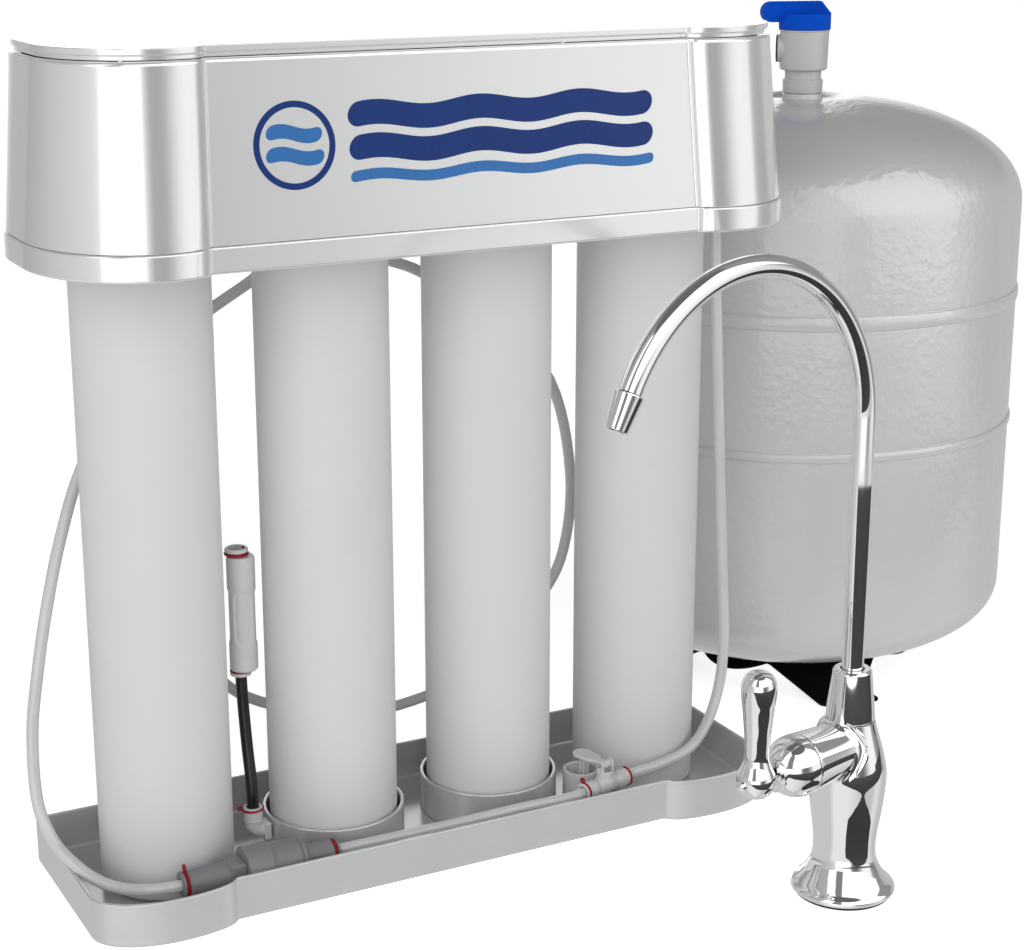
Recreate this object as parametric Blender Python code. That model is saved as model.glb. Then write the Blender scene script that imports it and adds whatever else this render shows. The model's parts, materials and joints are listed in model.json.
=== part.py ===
"""Under-sink reverse osmosis drinking water set.

Four twist-in filter cartridges hang from a long silver head and stand in a
drip tray.  A pressurised storage tank on a plastic stand and a gooseneck
faucet go with it.  Small push-fit fittings and 6.35 mm tubing lie in the tray.

Frame: +Z up, origin on the floor under the middle of the cartridge row,
X along the row, -Y towards the front panel.  Sizes below are millimetres.
Profiles of turned pieces are (radius, height along the axis) points.
"""
import bpy
import bmesh
import math
from mathutils import Vector, Matrix

for old_object in list(bpy.data.objects):
    bpy.data.objects.remove(old_object, do_unlink=True)


def direction(degrees):
    """Level unit vector, turned from +X towards +Y."""
    angle = math.radians(degrees)
    return Vector((math.cos(angle), math.sin(angle), 0))


MM = 0.001
GAP = 0.3                        # running gap between neighbouring pieces
UP = (0, 0, 1)
ALONG_X = (1, 0, 0)
ALONG_Y = (0, 1, 0)

# Cartridges, numbered from -X to +X
PITCH = 88.65                    # centre to centre
CART_X = [(i - 1.5) * PITCH for i in range(4)]
CART_R = 32.5
CART_FLOOR = 2.6                 # underside, just above the tray floor
CART_SHOULDER = 319.0
NECK_R = 15.5
NECK_TOP = 344.0
CUP_INNER_R = NECK_R + 0.7       # cup in the head round the neck
CUP_TOP = 350.0

# Drip tray
TRAY_H = 22.25
TRAY_WALL = 2.0
TRAY_FLOOR = 2.2

# Head
HEAD_Z = 311.5                   # underside of the head
BAND_TOP = 323.3
PLATE_T = 3.6
HEAD_HOLE_R = 33.4
CASE_TOP = 402.3
LID_TOP = 407.6
CASE_WALL = 2.4
CASE_BACK = 1.0                  # inset of the casing's back face

# Plates stacked on the cartridge cups inside the head
MANIFOLD_Z = CUP_TOP + GAP
MANIFOLD_TOP = MANIFOLD_Z + 4.0
SHEET_T = 1.5                    # bracket sheet
SHELF_Z = MANIFOLD_TOP + GAP
SHELF_TOP = SHELF_Z + SHEET_T
BRACKET_Y = 57.0                 # front face of the bracket's upright sheet
BRACKET_HALF = 118

# Plan outlines of the tray and the head: flat front, two bulging end lobes,
# rounded rear corners.  crease is where flat front meets lobe; lobe and bulge
# are the X and Y of the lobe's foremost point; side is the Y where the lobe
# meets the end.
TRAY_PLAN = dict(front=-59.7, crease=119.7, lobe=147.0, bulge=-67.6, end=186.0,
                 side=-45.0, back=51.3, corner_x=8.0, corner_y=8.0)
HEAD_PLAN = dict(front=-69.9, crease=123.1, lobe=143.0, bulge=-77.7, end=191.0,
                 side=-20.0, back=60.0, corner_x=47.0, corner_y=57.0)
LOBE_SHIFT = 0.42                # X shift of crease and lobe per unit of inset

# Tubing and push-fit fittings
TUBE_R = 3.175
TUBE_BORE = 2.15
PORT_R = 3.7                     # bore that takes a tube
CLIP_OPENING = math.radians(70)
CLIP_STEPS = 8

# Inlet regulator, axis parallel to X
REG_Y, REG_Z = -44.5, 17.2
REG_X0, REG_X1 = -138.5, -61.5
REG_LENGTH = REG_X1 - REG_X0

# Leak stop: a valve tee with a hinged lever reaching over a cup
LEAK_AT = Vector((90.6, -44.0, 20.0))
LEAK_ALONG = direction(15.0)     # along the tee and its hinge pin
LEAK_ACROSS = Vector((-LEAK_ALONG.y, LEAK_ALONG.x, 0))    # from the tee towards the cup
TEE_LENGTH = 33.0
TEE_START = LEAK_AT - LEAK_ALONG * (TEE_LENGTH / 2)
LEAK_PIN = Vector((LEAK_AT.x, LEAK_AT.y, 31.4))
PIN_HOLE_R = 1.25
CUP_AT = (PITCH, -22.0, 0)
CUP_R = 9.6

# Drain restrictor, upright between cartridges, and the elbow below it
RESTR_X, RESTR_Y = -PITCH, 8.0
ELBOW_X, ELBOW_Y = -89.0, -3.0

# Storage tank
TANK_X, TANK_Y = 316.4, 119.6
TANK_AXIS = (TANK_X, TANK_Y, 0)
TANK_R = 132.5
TANK_TOP_STRAIGHT = 291.4        # where the straight side ends at the top
TANK_DOME = 61.3
TANK_LOW_STRAIGHT = 62.7         # where the straight side starts
TANK_BELLY = 46.5
TANK_SKIN = 2.0
TANK_CAP = 352.3                 # flat rim on top of the dome
RIB_DEPTH = 1.2
STAND_FEET = 5
STAND_STEPS = 8                  # sections from one foot to the next
STAND_AIM = math.radians(260.0)
ARCH_RISE = 18.0                 # height of the arches between the feet

# Tank valve
VALVE_DIR = direction(165.0)     # way the port and lever point
VALVE_PORT_Z = 377.5
VALVE_LEVER_Z = 389.2
BLADE_Z = 399.6                  # centre line of the lever's blade
BLADE_HALF = 5.9
BLADE_TIP_X = 21.3               # centre of the blade's rounded tip
BLADE_TIP_R = 5.95

# Faucet
FAUCET_AT = Vector((154.0, -165.4, 0))
SPOUT_DIR = direction(193.0)     # way the spout and the side arm point
ARM_AT = FAUCET_AT + Vector((0, 0, 76.0))
ARM_HANDLE = 65.0                # handle's distance from the body axis
HANDLE_PIVOT = ARM_AT + SPOUT_DIR * ARM_HANDLE
SPOUT_R = 5.2
SPOUT_BORE = 4.0
SPOUT_FOOT = 92.0
SPOUT_RISE = 237.5               # where the straight riser ends
SPOUT_BEND = 79.0                # gooseneck radius
SPOUT_SWEEP = math.radians(151.0)
SPOUT_STEPS = 12


# ---------------------------------------------------------------- materials
def material(name, color, roughness, metallic=0.0):
    made = bpy.data.materials.get(name) or bpy.data.materials.new(name)
    made.use_nodes = True
    shader = made.node_tree.nodes["Principled BSDF"]
    shader.inputs["Base Color"].default_value = (*color, 1.0)
    shader.inputs["Roughness"].default_value = roughness
    shader.inputs["Metallic"].default_value = metallic
    made.diffuse_color = (*color, 1.0)
    return made


SILVER = material("silver_paint", color=(0.80, 0.81, 0.82), roughness=0.25, metallic=0.6)
TRAY_GREY = material("tray_silver", color=(0.66, 0.67, 0.67), roughness=0.45, metallic=0.3)
SHELL = material("cartridge_plastic", color=(0.74, 0.74, 0.74), roughness=0.45)
ENAMEL = material("tank_enamel", color=(0.78, 0.78, 0.78), roughness=0.25)
BLACK = material("black_plastic", color=(0.015, 0.015, 0.015), roughness=0.45)
CHROME = material("chrome", color=(0.85, 0.86, 0.87), roughness=0.05, metallic=1.0)
RED = material("clip_red", color=(0.35, 0.0, 0.01), roughness=0.4)
GREY = material("regulator_grey", color=(0.30, 0.30, 0.31), roughness=0.45)
WHITE = material("fitting_white", color=(0.70, 0.70, 0.70), roughness=0.4)
BLUE = material("lever_blue", color=(0.0, 0.10, 0.55), roughness=0.35)
TUBING = material("tubing", color=(0.72, 0.72, 0.74), roughness=0.25)
STEEL = material("zinc_steel", color=(0.62, 0.63, 0.64), roughness=0.35, metallic=1.0)
RUBBER = material("rubber", color=(0.03, 0.03, 0.03), roughness=0.8)
CARBON = material("carbon", color=(0.03, 0.03, 0.03), roughness=0.9)
FIBRE = material("melt_blown_fibre", color=(0.85, 0.84, 0.80), roughness=0.9)
SPONGE = material("wafer_pad", color=(0.75, 0.68, 0.45), roughness=0.95)


# --------------------------------------------------------------- mesh tools
def finish(name, shape, mat, origin=(0, 0, 0)):
    """Put a millimetre bmesh on an object whose origin is at `origin`."""
    origin = Vector(origin)
    bmesh.ops.remove_doubles(shape, verts=shape.verts, dist=1e-4)
    bmesh.ops.recalc_face_normals(shape, faces=shape.faces)
    for vert in shape.verts:
        vert.co = (vert.co - origin) * MM
    mesh = bpy.data.meshes.new(name)
    shape.to_mesh(mesh)
    shape.free()
    mesh.shade_smooth()
    mesh.set_sharp_from_angle(angle=math.radians(35))
    mesh.materials.append(mat)
    piece = bpy.data.objects.new(name, mesh)
    piece.location = origin * MM
    bpy.context.scene.collection.objects.link(piece)
    return piece


def boolean(piece, operation, name, shape):
    """Modify a piece with a hidden helper object made from `shape`."""
    helper = finish(name, shape, piece.data.materials[0])
    helper.hide_render = True
    helper.display_type = 'WIRE'
    modifier = piece.modifiers.new(operation.lower(), 'BOOLEAN')
    modifier.operation = operation
    modifier.object = helper


def basis(at, aim):
    """Matrix whose local Z points along `aim`, at point `at`."""
    turn = Vector(aim).normalized().to_track_quat('Z', 'Y')
    return Matrix.Translation(Vector(at)) @ turn.to_matrix().to_4x4()


def turned(profile, steps=10, at=(0, 0, 0), aim=UP, loop=False):
    """Spin a profile about the line through `at` along `aim`."""
    shape = bmesh.new()
    verts = [shape.verts.new((radius, 0.0, height)) for radius, height in profile]
    edges = [shape.edges.new(pair) for pair in zip(verts, verts[1:])]
    if loop:
        edges.append(shape.edges.new((verts[-1], verts[0])))
    bmesh.ops.spin(shape, geom=verts + edges, cent=(0, 0, 0), axis=UP,
                   angle=2 * math.pi, steps=steps, use_duplicate=False)
    bmesh.ops.remove_doubles(shape, verts=shape.verts, dist=5e-3)
    bmesh.ops.recalc_face_normals(shape, faces=shape.faces)
    bmesh.ops.transform(shape, matrix=basis(at, aim), verts=shape.verts)
    return shape


def rod(radius, low, high):
    """Profile of a plain solid cylinder."""
    return [(0, low), (radius, low), (radius, high), (0, high)]


def sleeve(inner, outer, low, high):
    """Profile of a plain hollow cylinder, to be turned as a loop."""
    return [(inner, low), (outer, low), (outer, high), (inner, high)]


def joined(first, *others):
    """Gather several bmeshes into the first one."""
    for other in others:
        carrier = bpy.data.meshes.new("carrier")
        other.to_mesh(carrier)
        other.free()
        first.from_mesh(carrier)
        bpy.data.meshes.remove(carrier)
    return first


def loft(rings, closed=False):
    """Skin a stack of equal point loops; cap both ends unless it is closed."""
    shape = bmesh.new()
    rows = [[shape.verts.new(point) for point in ring] for ring in rings]
    count = len(rows[0])
    pairs = list(zip(rows, rows[1:]))
    if closed:
        pairs.append((rows[-1], rows[0]))
    for row, following in pairs:
        for i in range(count):
            j = (i + 1) % count
            shape.faces.new((row[i], row[j], following[j], following[i]))
    if not closed:
        shape.faces.new(rows[0])
        shape.faces.new(rows[-1])
    bmesh.ops.recalc_face_normals(shape, faces=shape.faces)
    return shape


def level(outline, z):
    return [(x, y, z) for x, y in outline]


def upright(outline, low, high):
    """Prism on a plan outline."""
    return loft([level(outline, low), level(outline, high)])


def rectangle(x0, x1, y0, y1):
    return [(x0, y0), (x1, y0), (x1, y1), (x0, y1)]


def clip(name, inner, outer, thick, at, aim, roll):
    """Flat split ring bent round `aim`, its opening turned by `roll` radians."""
    start = CLIP_OPENING / 2 + roll
    span = 2 * math.pi - CLIP_OPENING
    placing = basis(at, aim)
    section = sleeve(inner, outer, -thick / 2, thick / 2)
    rings = []
    for i in range(CLIP_STEPS + 1):
        angle = start + span * i / CLIP_STEPS
        rings.append([placing @ Vector((radius * math.cos(angle), radius * math.sin(angle), z))
                      for radius, z in section])
    finish(name, loft(rings), RED)


def spline(points, steps=2):
    """Catmull-Rom curve through the points, `steps` to a span."""
    knots = [Vector(point) for point in points]
    knots = [knots[0] * 2 - knots[1]] + knots + [knots[-1] * 2 - knots[-2]]
    curve = []
    for before, start, end, after in zip(knots, knots[1:], knots[2:], knots[3:]):
        for k in range(steps):
            t = k / steps
            curve.append(0.5 * (2 * start + (end - before) * t
                                + (2 * before - 5 * start + 4 * end - after) * t * t
                                + (3 * start - before - 3 * end + after) * t ** 3))
    curve.append(knots[-2])
    return curve


def swept(path, outer, inner, sides):
    """Hollow tube along a path of vectors, skinned outside, ends and inside."""
    last = len(path) - 1
    tangents = [(path[min(i + 1, last)] - path[max(i - 1, 0)]).normalized()
                for i in range(len(path))]
    across = tangents[0].orthogonal().normalized()
    frames = []
    for i, tangent in enumerate(tangents):
        if i:
            across = tangents[i - 1].rotation_difference(tangent) @ across
        across = (across - tangent * across.dot(tangent)).normalized()
        frames.append((across, tangent.cross(across)))
    angles = [2 * math.pi * k / sides for k in range(sides)]

    def skin(radius):
        return [[point + (u * math.cos(a) + v * math.sin(a)) * radius for a in angles]
                for point, (u, v) in zip(path, frames)]

    return loft(skin(outer) + skin(inner)[::-1], closed=True)


def quarter(steps):
    """Angles from 0 to a right angle, both included."""
    return [math.pi / 2 * i / steps for i in range(steps + 1)]


def plan_ring(front, crease, lobe, bulge, end, side, back, corner_x, corner_y,
              z, inset=0.0, back_inset=None):
    """Tray or head outline at height z.  `inset` moves the front and ends in,
    `back_inset` the back; left out, it equals `inset`."""
    if back_inset is None:
        back_inset = inset
    front, bulge, end, back = front + inset, bulge + inset, end - inset, back - back_inset
    crease -= LOBE_SHIFT * inset
    lobe -= LOBE_SHIFT * inset
    corner_x = max(corner_x - inset, 1.0)
    corner_y = max(corner_y - back_inset, 1.0)
    half = [(crease, front)]
    half += [(lobe - (lobe - crease) * math.cos(a), front + (bulge - front) * math.sin(a))
             for a in quarter(3)[1:]]
    half += [(lobe + (end - lobe) * math.sin(a), side + (bulge - side) * math.cos(a))
             for a in quarter(6)[1:]]
    half += [(end - corner_x * (1 - math.cos(a)), back - corner_y * (1 - math.sin(a)))
             for a in quarter(4)]
    return level([(-x, y) for x, y in reversed(half)] + half, z)


# --------------------------------------------------------------------- tray
def drip_tray():
    stations = [(1.2, 0.0), (0.0, 1.2), (0.0, TRAY_H),           # (inset, z)
                (TRAY_WALL, TRAY_H), (TRAY_WALL, TRAY_FLOOR)]
    finish("drip_tray", loft([plan_ring(**TRAY_PLAN, z=z, inset=inset)
                              for inset, z in stations]), TRAY_GREY)
    for number in (2, 3):
        finish(f"locating_ring_{number}",
               turned(sleeve(34.1, 36.1, TRAY_FLOOR + GAP, 22.0), 20,
                      (CART_X[number - 1], 0, 0), loop=True), TRAY_GREY)


# --------------------------------------------------------------- cartridges
def cartridges():
    shell = [(0, CART_FLOOR), (30.5, CART_FLOOR), (CART_R, CART_FLOOR + 2.0),
             (CART_R, CART_SHOULDER), (29.0, 323.5), (17.5, 326.0), (NECK_R, 327.0),
             (NECK_R, NECK_TOP), (9.0, NECK_TOP), (9.0, 325.0), (27.0, 321.0),
             (30.0, 317.0), (30.0, 6.0), (0, 6.0)]
    membrane = [(4.0, 8.0), (6.5, 8.0), (6.5, 18.0), (23.0, 18.0), (23.0, 292.0),
                (28.6, 293.0), (28.6, 297.0), (23.0, 298.0), (6.5, 300.0),
                (6.5, 314.0), (4.0, 314.0)]
    cores = [("sediment_core", FIBRE, sleeve(9.0, 27.5, 10.0, 306.0)),
             ("carbon_block_core", CARBON, sleeve(8.0, 26.5, 10.0, 306.0)),
             ("membrane_element", FIBRE, membrane),
             ("post_carbon_core", CARBON, sleeve(3.0, 25.0, 12.0, 300.0))]
    # cup in the head that the cartridge neck twists into
    cup = [(0, 346.0), (CUP_INNER_R, 346.0), (CUP_INNER_R, 329.0), (19.6, 329.0),
           (19.6, 340.0), (22.5, 342.0), (22.5, CUP_TOP), (0, CUP_TOP)]
    for number, (x, (core_name, core_mat, core)) in enumerate(zip(CART_X, cores), 1):
        at = (x, 0, 0)
        finish(f"cartridge_shell_{number}", turned(shell, 20, at), SHELL, origin=at)
        finish(core_name, turned(core, 12, at, loop=True), core_mat, origin=at)
        finish(f"cartridge_socket_{number}", turned(cup, 12, at), WHITE)


# --------------------------------------------------------------------- head
def head_base():
    stations = [(1.2, HEAD_Z), (0.0, HEAD_Z + 1.2), (0.0, BAND_TOP - 0.6),   # (inset, z)
                (0.6, BAND_TOP), (3.6, BAND_TOP), (3.6, HEAD_Z + PLATE_T)]
    base = finish("head_base", loft([plan_ring(**HEAD_PLAN, z=z, inset=inset)
                                     for inset, z in stations]), SILVER)
    hole = rod(HEAD_HOLE_R, HEAD_Z - 4, HEAD_Z + 8)
    boolean(base, 'DIFFERENCE', "cut_neck_holes",
            joined(*[turned(hole, 20, (x, 0, 0)) for x in CART_X]))


def head_casing():
    low = BAND_TOP + GAP
    inner_back = CASE_BACK + CASE_WALL
    stations = [                                       # (inset, back inset, z)
        (1.0, CASE_BACK, low),
        (4.6, CASE_BACK, low + 38),
        (7.9, CASE_BACK, CASE_TOP - 2.6),
        (8.7, CASE_BACK, CASE_TOP - 0.8),
        (9.9, CASE_BACK, CASE_TOP),
        (9.9 + 1.6, inner_back, CASE_TOP),
        (7.9 + CASE_WALL, inner_back, CASE_TOP - 2.6),
        (1.0 + CASE_WALL, inner_back, low)]
    case = finish("head_casing", loft([plan_ring(**HEAD_PLAN, z=z, inset=inset, back_inset=back)
                                       for inset, back, z in stations], closed=True), SILVER)
    boolean(case, 'DIFFERENCE', "cut_back_window",
            upright(rectangle(-120, 120, 50, 70), 330, 396))


def head_lid():
    stations = [                                       # (inset, back inset, z)
        (15.5, 7.0, CASE_TOP + 2.6), (15.5, 7.0, CASE_TOP + GAP),
        (10.6, 2.0, CASE_TOP + GAP), (10.6, 2.0, CASE_TOP + 2.3),
        (9.3, 1.4, CASE_TOP + 2.6), (8.9, 1.0, CASE_TOP + 3.4),
        (8.9, 1.0, LID_TOP - 0.7), (9.7, 1.8, LID_TOP)]
    finish("head_lid", loft([plan_ring(**HEAD_PLAN, z=z, inset=inset, back_inset=back)
                             for inset, back, z in stations]), SILVER)


def head_inside():
    finish("manifold_plate", upright(rectangle(-165, 165, -22, 22), MANIFOLD_Z, MANIFOLD_TOP),
           WHITE)

    # L-shaped sheet with a foot under its upright part
    back = BRACKET_Y + SHEET_T
    section = [(BRACKET_Y, 332), (back, 332), (back, 394), (BRACKET_Y, 394),     # (y, z)
               (BRACKET_Y, SHELF_TOP), (-18, SHELF_TOP), (-18, SHELF_Z), (BRACKET_Y, SHELF_Z)]
    bracket = finish("wall_bracket", loft([[(x, y, z) for y, z in section]
                                           for x in (-BRACKET_HALF, BRACKET_HALF)]), STEEL)
    # each keyhole is a wide round hole with a narrow one above it
    keyholes = [turned(rod(radius, -6, 6), at=(x, 57.7, z), aim=ALONG_Y)
                for x in (-80, 80) for radius, z in ((4.5, 374.0), (2.6, 381.5))]
    boolean(bracket, 'DIFFERENCE', "cut_keyholes", joined(*keyholes))

    valve_low = SHELF_TOP + GAP
    finish("shutoff_valve", turned([(0, valve_low), (16, valve_low), (16, 361.5), (11, 363),
                                    (11, 368), (0, 369)], 12, (-44.3, 0, 0)), WHITE)


# ---------------------------------------------------------- inlet regulator
def inlet_regulator():
    end = REG_LENGTH
    profile = [(PORT_R, 12.0), (PORT_R, 0.0), (6.4, 0.0), (6.4, 1.2), (5.2, 1.2), (5.2, 3.2),
               (6.4, 3.2), (6.4, 20.5), (8.2, 20.7), (8.2, 28.3), (12.3, 28.5), (12.3, 41.5),
               (10.0, 41.7), (10.0, 58.5), (8.6, 60.5), (8.6, 62.5), (5.9, 64.0),
               (5.9, end - 3.2), (5.0, end - 3.2), (5.0, end - 1.2), (6.2, end - 1.2),
               (6.2, end), (PORT_R, end), (PORT_R, end - 12.0), (1.6, end - 12.0), (1.6, 12.0)]
    finish("inlet_regulator",
           turned(profile, 12, (REG_X0, REG_Y, REG_Z), ALONG_X, loop=True), GREY)
    # the clips sit in the grooves near the two ends
    clip("clip_regulator_in", 5.5, 7.0, 1.3, (REG_X0 + 2.2, REG_Y, REG_Z), ALONG_X, roll=2.2)
    clip("clip_regulator_out", 5.3, 6.8, 1.3, (REG_X1 - 2.2, REG_Y, REG_Z), ALONG_X, roll=2.2)


# ---------------------------------------------------------------- leak stop
def leak_outline(points):
    """Turn (along the pin, towards the cup) points from the pin into plan points."""
    placed = [LEAK_AT + LEAK_ALONG * along + LEAK_ACROSS * across for along, across in points]
    return [(point.x, point.y) for point in placed]


def pin_rod(radius, half_length):
    return turned(rod(radius, -half_length, half_length), at=LEAK_PIN, aim=LEAK_ALONG)


def leak_stop_valve():
    profile = [(PORT_R, 9.0), (PORT_R, 0.0), (4.7, 0.0), (4.7, 0.8), (4.1, 0.8), (4.1, 2.2),
               (4.7, 2.2), (4.9, 8.0), (4.0, 9.0), (4.0, 11.0), (4.6, 12.0), (4.6, 21.0),
               (4.0, 22.0), (4.0, 24.0), (4.9, 25.0), (4.7, 30.8), (4.1, 30.8), (4.1, 32.2),
               (4.7, 32.2), (4.7, TEE_LENGTH), (PORT_R, TEE_LENGTH), (PORT_R, 24.0),
               (1.5, 24.0), (1.5, 9.0)]
    tee = finish("leak_stop_valve", turned(profile, at=TEE_START, aim=LEAK_ALONG, loop=True),
                 WHITE)
    boolean(tee, 'UNION', "add_riser",
            turned(rod(4.3, 22.5, 28.0), at=(LEAK_AT.x, LEAK_AT.y, 0)))
    ears = [upright(leak_outline(rectangle(low, high, -2.2, 2.2)), 27.0, 33.6)
            for low, high in ((-4.1, -2.9), (2.9, 4.1))]
    boolean(tee, 'UNION', "add_ears", joined(*ears))
    boolean(tee, 'DIFFERENCE', "cut_pin_hole", pin_rod(PIN_HOLE_R, 8))
    finish("leak_stop_pin", pin_rod(0.9, 4.9), STEEL)
    clip("clip_leak_in", 4.3, 5.3, 1.0, TEE_START + LEAK_ALONG * 1.5, LEAK_ALONG, roll=2.2)
    clip("clip_leak_out", 4.3, 5.3, 1.0, TEE_START + LEAK_ALONG * (TEE_LENGTH - 1.5),
         LEAK_ALONG, roll=2.2)


def leak_stop_lever():
    pad_r = 5.6                                        # round end over the cup
    reach = (Vector(CUP_AT) - LEAK_AT).dot(LEAK_ACROSS)
    outline = [(-2.2, -1.9), (2.2, -1.9), (2.2, 4.5), (5.2, 12.0), (pad_r, reach)]
    outline += [(pad_r * math.cos(angle), reach + pad_r * math.sin(angle))
                for angle in (math.pi * k / 6 for k in range(1, 6))]
    outline += [(-pad_r, reach), (-5.2, 12.0), (-2.2, 4.5)]
    pin_z = LEAK_PIN.z
    lever = finish("leak_stop_lever", upright(leak_outline(outline), pin_z - 1.9, pin_z + 1.9),
                   WHITE, origin=LEAK_PIN)
    # beyond the hinge the lever is thinned from both faces
    beyond_hinge = leak_outline(rectangle(-12, 12, 3.0, 45))
    boolean(lever, 'DIFFERENCE', "cut_lever_top", upright(beyond_hinge, pin_z + 1.1, pin_z + 6))
    boolean(lever, 'DIFFERENCE', "cut_lever_under", upright(beyond_hinge, pin_z - 6, pin_z - 0.7))
    plunger = [(0, 10.4), (5.4, 10.4), (5.4, 17.5), (2.4, 23.5), (2.4, 31.0), (0, 31.0)]
    boolean(lever, 'UNION', "add_plunger", turned(plunger, at=CUP_AT))
    boolean(lever, 'DIFFERENCE', "cut_lever_bore", pin_rod(PIN_HOLE_R, 8))


def leak_stop_cup():
    low = TRAY_FLOOR + GAP
    finish("leak_stop_cup", turned([(0, low), (CUP_R, low), (CUP_R, 21.0), (8.2, 21.0),
                                    (8.2, 4.2), (0, 4.2)], 12, CUP_AT), WHITE)
    finish("leak_stop_pad", turned([(0, 4.6), (7.4, 4.6), (7.4, 9.4), (6.9, 9.9), (0, 9.9)],
                                   at=CUP_AT), SPONGE)


# ----------------------------------------------------------- drain fittings
def drain_restrictor():
    profile = [(PORT_R, 150.0), (PORT_R, 162.0), (5.6, 162.0), (5.9, 161.2), (5.9, 159.8),
               (4.9, 159.8), (4.9, 157.8), (6.0, 157.8), (6.8, 156.4), (6.8, 100.6),
               (5.6, 99.4), (4.9, 99.4), (4.9, 97.4), (5.6, 97.4), (5.6, 96.0),
               (PORT_R, 96.0), (PORT_R, 108.0), (1.5, 108.0), (1.5, 150.0)]
    finish("drain_restrictor", turned(profile, 12, (RESTR_X, RESTR_Y, 0), loop=True), WHITE)
    clip("clip_restrictor_top", 5.2, 6.8, 1.2, (RESTR_X, RESTR_Y, 158.8), UP, roll=0.8)
    clip("clip_restrictor_low", 5.2, 6.2, 1.2, (RESTR_X, RESTR_Y, 98.4), UP, roll=0.8)


def drain_elbow():
    profile = [(0, 12.2), (3.2, 12.4), (4.6, 14.0), (4.6, 26.4), (4.1, 26.4), (4.1, 28.0),
               (4.9, 28.0), (4.9, 29.5), (PORT_R, 29.5), (PORT_R, 20.0), (0, 20.0)]
    elbow = finish("drain_elbow", turned(profile, at=(ELBOW_X, ELBOW_Y, 0)), WHITE)
    boolean(elbow, 'UNION', "add_leg",
            turned(rod(4.1, 0.5, 6.4), at=(ELBOW_X, ELBOW_Y, 16.4), aim=ALONG_X))
    foot = rectangle(ELBOW_X + 4.6, ELBOW_X + 8.1, ELBOW_Y - 4.4, ELBOW_Y + 4.4)
    boolean(elbow, 'UNION', "add_foot", upright(foot, 11.4, 20.4))
    clip("clip_elbow", 4.4, 5.7, 1.0, (ELBOW_X, ELBOW_Y, 27.2), UP, roll=3.4)


# ------------------------------------------------------------------- tubing
def tubes():
    """Each tube runs through its (x, y, z) points."""
    under = HEAD_Z - GAP

    def on_tee(distance):
        return TEE_START + LEAK_ALONG * distance

    routes = {
        "tube_feed": [
            (REG_X0 + 11.5, REG_Y, REG_Z), (REG_X0 - 1.0, REG_Y, REG_Z),
            (-152, -43.0, REG_Z), (-167, -32.0, 18.5), (-180, -12.0, 24.0),
            (-189, 4.0, 35.0), (-193.5, 11.0, 60.0), (-191, 14.0, 92.0),
            (-184, 18.0, 130.0), (-173, 27.0, 170.0), (-157, 42.0, 207.0),
            (-126, 50.0, 243.0), (-88, 45.0, 270.0), (-60, 41.5, 288.0),
            (-48, 40.0, 303.0), (-46, 40.0, under)],
        "tube_regulator_to_leak_stop": [
            (REG_X1 - 11.5, REG_Y, REG_Z), (REG_X1 + 1.0, REG_Y, REG_Z),
            (-30, -45.0, 15.5), (10, -47.5, 15.5), (40, -53.0, 18.0),
            on_tee(-9.0), on_tee(-1.0), on_tee(8.5)],
        "tube_leak_stop_to_head": [
            on_tee(24.5), on_tee(34.0), on_tee(38.0),
            (127, -38.6, 21.5), (148, -35.0, 25.0), (167, -24.0, 34.0),
            (179, -16.5, 53.0), (181.5, -15.0, 78.0), (180, -15.0, 105.0),
            (177, -15.0, 155.0), (173.5, -15.0, 215.0), (169.5, -15.0, 285.0),
            (168.5, -15.0, under)],
        "tube_loop": [
            (0, 40.0, under), (0.5, 40.0, 303.0), (7, 40.0, 291.5),
            (27.5, 40.0, 282.3), (68, 41.0, 256.0), (103, 41.0, 217.5),
            (116, 41.0, 165.0), (112, 41.0, 121.0), (96, 41.0, 94.0),
            (62, 41.0, 63.0), (26, 41.0, 50.5), (-20, 41.0, 49.0),
            (-65, 41.0, 64.6), (-90, 41.0, 84.0), (-115, 40.0, 125.0),
            (-126, 39.5, 180.0), (-128, 39.5, 250.0), (-128, 39.5, under)],
        "tube_drain": [
            (RESTR_X, RESTR_Y, 107.0), (RESTR_X, RESTR_Y, 95.0),
            (RESTR_X, RESTR_Y - 1.5, 80.0), (RESTR_X - 0.2, RESTR_Y - 6.0, 58.0),
            (ELBOW_X, ELBOW_Y, 38.0), (ELBOW_X, ELBOW_Y, 20.6)],
    }
    for name, points in routes.items():
        finish(name, swept(spline(points), TUBE_R, TUBE_BORE, sides=6),
               BLACK if name == "tube_drain" else TUBING)


# ------------------------------------------------------------- storage tank
def squircle(radius, height, power, steps):
    """Quarter of a superellipse, from the axis outwards."""
    return [(radius * math.sin(angle) ** (2 / power), height * math.cos(angle) ** (2 / power))
            for angle in quarter(steps)]


def tank_ends(skin, steps):
    """Belly and dome profiles, `skin` inside the tank's outer surface."""
    radius = TANK_R - skin
    belly = squircle(radius, TANK_BELLY - skin, 2.3, steps)
    dome = squircle(radius, TANK_DOME - skin, 2.13, steps)[1:]
    return ([(r, TANK_LOW_STRAIGHT - drop) for r, drop in belly],
            [(r, TANK_TOP_STRAIGHT + rise) for r, rise in reversed(dome)])


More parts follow.
